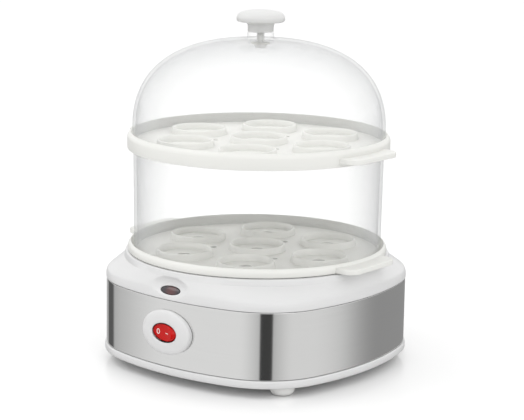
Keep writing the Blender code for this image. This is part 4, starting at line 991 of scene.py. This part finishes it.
def traySides(bottom):
    # one finger tab on each side, its edges rounded over
    reach = level("upper_tray", high, "x")
    tabs = bmesh.new()
    root = tray["inner"] + tray["tabRoot"]
    for side in (1, -1):
        bm = bmesh.new()
        outline = []
        for end, start in ((-1, -90), (1, 0)):
            centre = Vector((reach - tray["tabCorner"], end * (tray["tabHalf"] - tray["tabCorner"])))
            outline += [centre + tray["tabCorner"] * Vector((math.cos(math.radians(start + 7.5 * i)),
                                                             math.sin(math.radians(start + 7.5 * i))))
                        for i in range(13)]
        half = math.asin(tray["tabHalf"] / root)
        outline += [root * Vector((math.cos(half - 2 * half * i / 24), math.sin(half - 2 * half * i / 24)))
                    for i in range(25)]
        face = bm.faces.new([bm.verts.new((side * p.x * mm, side * p.y * mm, bottom * mm)) for p in outline])
        pulled = bmesh.ops.extrude_face_region(bm, geom=[face])["geom"]
        bmesh.ops.translate(bm, vec=(0, 0, tray["tabThickness"] * mm),
                            verts=[v for v in pulled if isinstance(v, bmesh.types.BMVert)])
        bmesh.ops.recalc_face_normals(bm, faces=bm.faces)
        softenEdges(bm, tray["tabEdge"], 4, 60.0, where=lambda edge: abs(
            edge.verts[0].co.z - edge.verts[1].co.z) < 0.1 * mm and min(
            vert.co.xy.length for vert in edge.verts) > (root + 0.3) * mm)
        addTo(tabs, bm)
    return tabs


def wellRings(floor):
    rings = bmesh.new()
    radius, wall, height = tray["wellRadius"], tray["wellWall"], tray["wellHeight"]
    top = floor + height
    profile = [(radius - 0.4, floor - 0.5), (radius + wall + 0.4, floor - 0.5),
               (radius + wall + 0.3, floor + 0.2),
               (radius + wall, floor + 0.8), (radius + wall - 0.25, top - 0.7),
               (radius + wall - 0.6, top - 0.15),
               (radius + wall - 1.0, top), (radius + 0.6, top - 0.2), (radius + 0.1, top - 0.9),
               (radius - 0.2, floor + 0.6)]
    for x, y in ringOfWells:
        addTo(rings, shifted(turned(profile, 72), x, y))
    return rings


def finishTray(name, bm, floor, tabLow, body, node):
    holeLow, holeHigh = floor - 2 * tray["floor"], floor + 2 * tray["wellHeight"]
    holes = rods(ringOfWells, tray["wellHole"], holeLow, holeHigh, 40)
    steamRing = tray["wellRing"] / math.sqrt(3)
    steam = [(steamRing * math.cos(math.tau * (i + 0.5) / 6), steamRing * math.sin(math.tau * (i + 0.5) / 6))
             for i in range(6)]
    addTo(holes, rods(steam, tray["steamHole"], holeLow, holeHigh, 24))
    mesh = combine(bm, [("UNION", wellRings(floor)), ("UNION", traySides(tabLow)), ("DIFFERENCE", holes)])
    dressPiece(name, mesh, trayPolypropylene, body, (node,), 38.0)


def makeLowerTray():
    shape = lowerTray
    inner, rim, spigot = tray["inner"], shape["rim"], shape["spigot"]
    under = shape["floor"] - tray["floor"]
    top = shape["rimTop"]
    profile = [(0.0, shape["floor"]), (inner - 1.2, shape["floor"]), (inner - 0.4, shape["floor"] + 0.25),
               (inner, shape["floor"] + 1.0), (inner, top - 0.4), (inner + 0.15, top - 0.1),
               (inner + 0.4, top),
               (inner + 0.8, top - 0.15), (rim - 0.5, top - 1.1), (rim - 0.1, top - 1.8), (rim, top - 2.5),
               (rim, shape["rimLow"] + 0.5), (rim - 0.15, shape["rimLow"] + 0.15),
               (rim - 0.5, shape["rimLow"]),
               (spigot, shape["rimLow"]), (spigot, shape["spigotLow"] + 0.5),
               (spigot - 0.4, shape["spigotLow"]),
               (spigot - tray["wall"] + 0.3, shape["spigotLow"]),
               (spigot - tray["wall"], shape["spigotLow"] + 0.3),
               (spigot - tray["wall"], under), (0.0, under)]
    finishTray("lower_egg_tray", turned(profile, 180), shape["floor"], shape["tabLow"], "lower_tier",
               "lower_tray")


def makeUpperTray():
    shape = upperTray
    inner, rim = tray["inner"], shape["rim"]
    under = shape["floor"] - tray["floor"]
    top, base = shape["rimTop"], shape["rimLow"]
    profile = [(0.0, shape["floor"]), (inner - 1.2, shape["floor"]), (inner - 0.4, shape["floor"] + 0.25),
               (inner, shape["floor"] + 1.0), (inner, top - 0.5), (inner + 0.15, top - 0.15),
               (inner + 0.5, top),
               (inner + 1.1, top - 0.2), (rim - 0.6, top - 1.4), (rim - 0.12, top - 2.3), (rim, top - 3.2),
               (rim, base + 0.6), (rim - 0.15, base + 0.15), (rim - 0.6, base),
               (rim - tray["wall"] + 0.3, base),
               (rim - tray["wall"], base + 0.3), (rim - tray["wall"], under), (0.0, under)]
    finishTray("upper_egg_tray", turned(profile, 180), shape["floor"], shape["tabLow"], "upper_tier",
               "upper_tray")


makeLowerTray()
makeUpperTray()
print("trays: done")

clear = {"wall": 1.8, "edge": 0.5, "domeRadius": 74.6, "exponent": 2.5, "boss": 7.9, "screwBore": 2.3,
         "vent": 1.6, "ventOffset": 28.0, "skirt": 5.5, "bossHeight": 4.0}
knob = {"neck": 7.6, "cap": 14.2, "neckHeight": 5.6, "screwDepth": 3.5}


def makeSteamRing():
    bottom, top = level("steam_ring", low), level("steam_ring", high)
    outer = level("steam_ring", high, "x")
    ringFoot = outer - 0.6
    wall, edge = clear["wall"], clear["edge"]
    profile = [(ringFoot - wall, bottom + edge), (ringFoot - wall + edge, bottom), (ringFoot - edge, bottom),
               (ringFoot, bottom + edge), (outer, top - edge), (outer - edge, top),
               (outer - wall + edge, top),
               (outer - wall, top - edge)]
    finishPiece("clear_steam_ring", turned(profile, 192), clearPlastic, "steam_tier",
                ("steam_ring",))


def domeArc(radius, height, base, topRadius, count=48):
    last = math.acos((topRadius / radius) ** (clear["exponent"] / 2))
    power = 2 / clear["exponent"]
    return [(radius * math.cos(last * i / (count - 1)) ** power,
             base + height * math.sin(last * i / (count - 1)) ** power) for i in range(count)]


def makeDome():
    bottom, bossTop = level("lid_dome", low), level("lid_dome", high)
    base = bottom + clear["skirt"]
    height = bossTop - clear["bossHeight"] - base
    radius, wall = clear["domeRadius"], clear["wall"]
    outer = domeArc(radius, height, base, clear["boss"] + 1.2)
    inner = domeArc(radius - wall, height - wall, base, clear["screwBore"])
    boss = clear["boss"]
    bossFoot = outer[-1][1]
    profile = [(clear["screwBore"], bossTop), (boss - 0.5, bossTop), (boss - 0.12, bossTop - 0.15),
               (boss, bossTop - 0.5), (boss, bossFoot + 1.0), (boss + 0.35, bossFoot + 0.35)]
    profile += outer[::-1] + [(radius, bottom + 0.5), (radius - 0.5, bottom), (radius - wall + 0.5, bottom),
                              (radius - wall, bottom + 0.5)] + inner
    vents = rods([(-clear["ventOffset"], 0), (clear["ventOffset"], 0)], clear["vent"], base + height / 2,
                 bossTop)
    mesh = combine(turned(profile, 192), [("DIFFERENCE", vents)])
    dressPiece("clear_dome", mesh, clearPlastic, "lid", ("lid_dome",), 40.0)


def makeKnob():
    bottom, top = level("lid_knob", low), level("lid_knob", high)
    neck, cap = knob["neck"], knob["cap"]
    neckTop = bottom + knob["neckHeight"]
    holeTop = top - knob["screwDepth"]
    crown = smoothLine([(neck, neckTop - 2.6), (neck + 0.45, neckTop - 1.1), (neck + 1.9, neckTop - 0.15),
                        (cap - 1.4, neckTop + 0.1), (cap - 0.3, neckTop + 0.7), (cap, neckTop + 2.0),
                        (cap - 0.25, neckTop + 3.4), (0.9 * cap, top - 2.1), (0.72 * cap, top - 1.0),
                        (0.4 * cap, top - 0.25), (0.0, top)], 5)
    profile = [(0.0, holeTop), (clear["screwBore"], holeTop), (clear["screwBore"], bottom + 0.2),
               (clear["screwBore"] + 0.2, bottom), (neck - 0.4, bottom), (neck - 0.1, bottom + 0.1),
               (neck, bottom + 0.4)] + crown
    finishPiece("round_knob", turned(profile, 128), knobAbs, "lid", ("lid_knob",), 45.0)


makeSteamRing()
makeDome()
makeKnob()
print("clear parts and knob: done")

finishOfNode = {
    "plate_gasket": silicone, "knob_washer": silicone, "heating_element": heaterSheath,
    "thermostat": bakelite, "thermal_fuse": nylon, "terminal_block": nylon, "switch_body": blackNylon,
    "gland_nut": blackNylon, "indicator_lamp": neonGlass, "wire_live": redSleeve, "wire_switched": redSleeve,
    "wire_neutral": blueSleeve, "wire_fuse": whiteSleeve, "wire_heater": whiteSleeve,
    "wire_lamp": whiteSleeve,
    "knob_screw": whiteNylon,
}
for name in ("heater_pin_left", "heater_pin_right", "clamp_strap", "clamp_stud_left", "clamp_stud_right",
             "clamp_nut_left", "clamp_nut_right", "rocker_axle"):
    finishOfNode[name] = zincPlate
for name in ("thermostat_blade_left", "thermostat_blade_right", "switch_blade_1", "switch_blade_2",
             "switch_blade_3"):
    finishOfNode[name] = brass
for name, finish in finishOfNode.items():
    mesh = nodes[name].data
    mesh.materials.clear()
    mesh.materials.append(finish)
print("inner pieces: done")
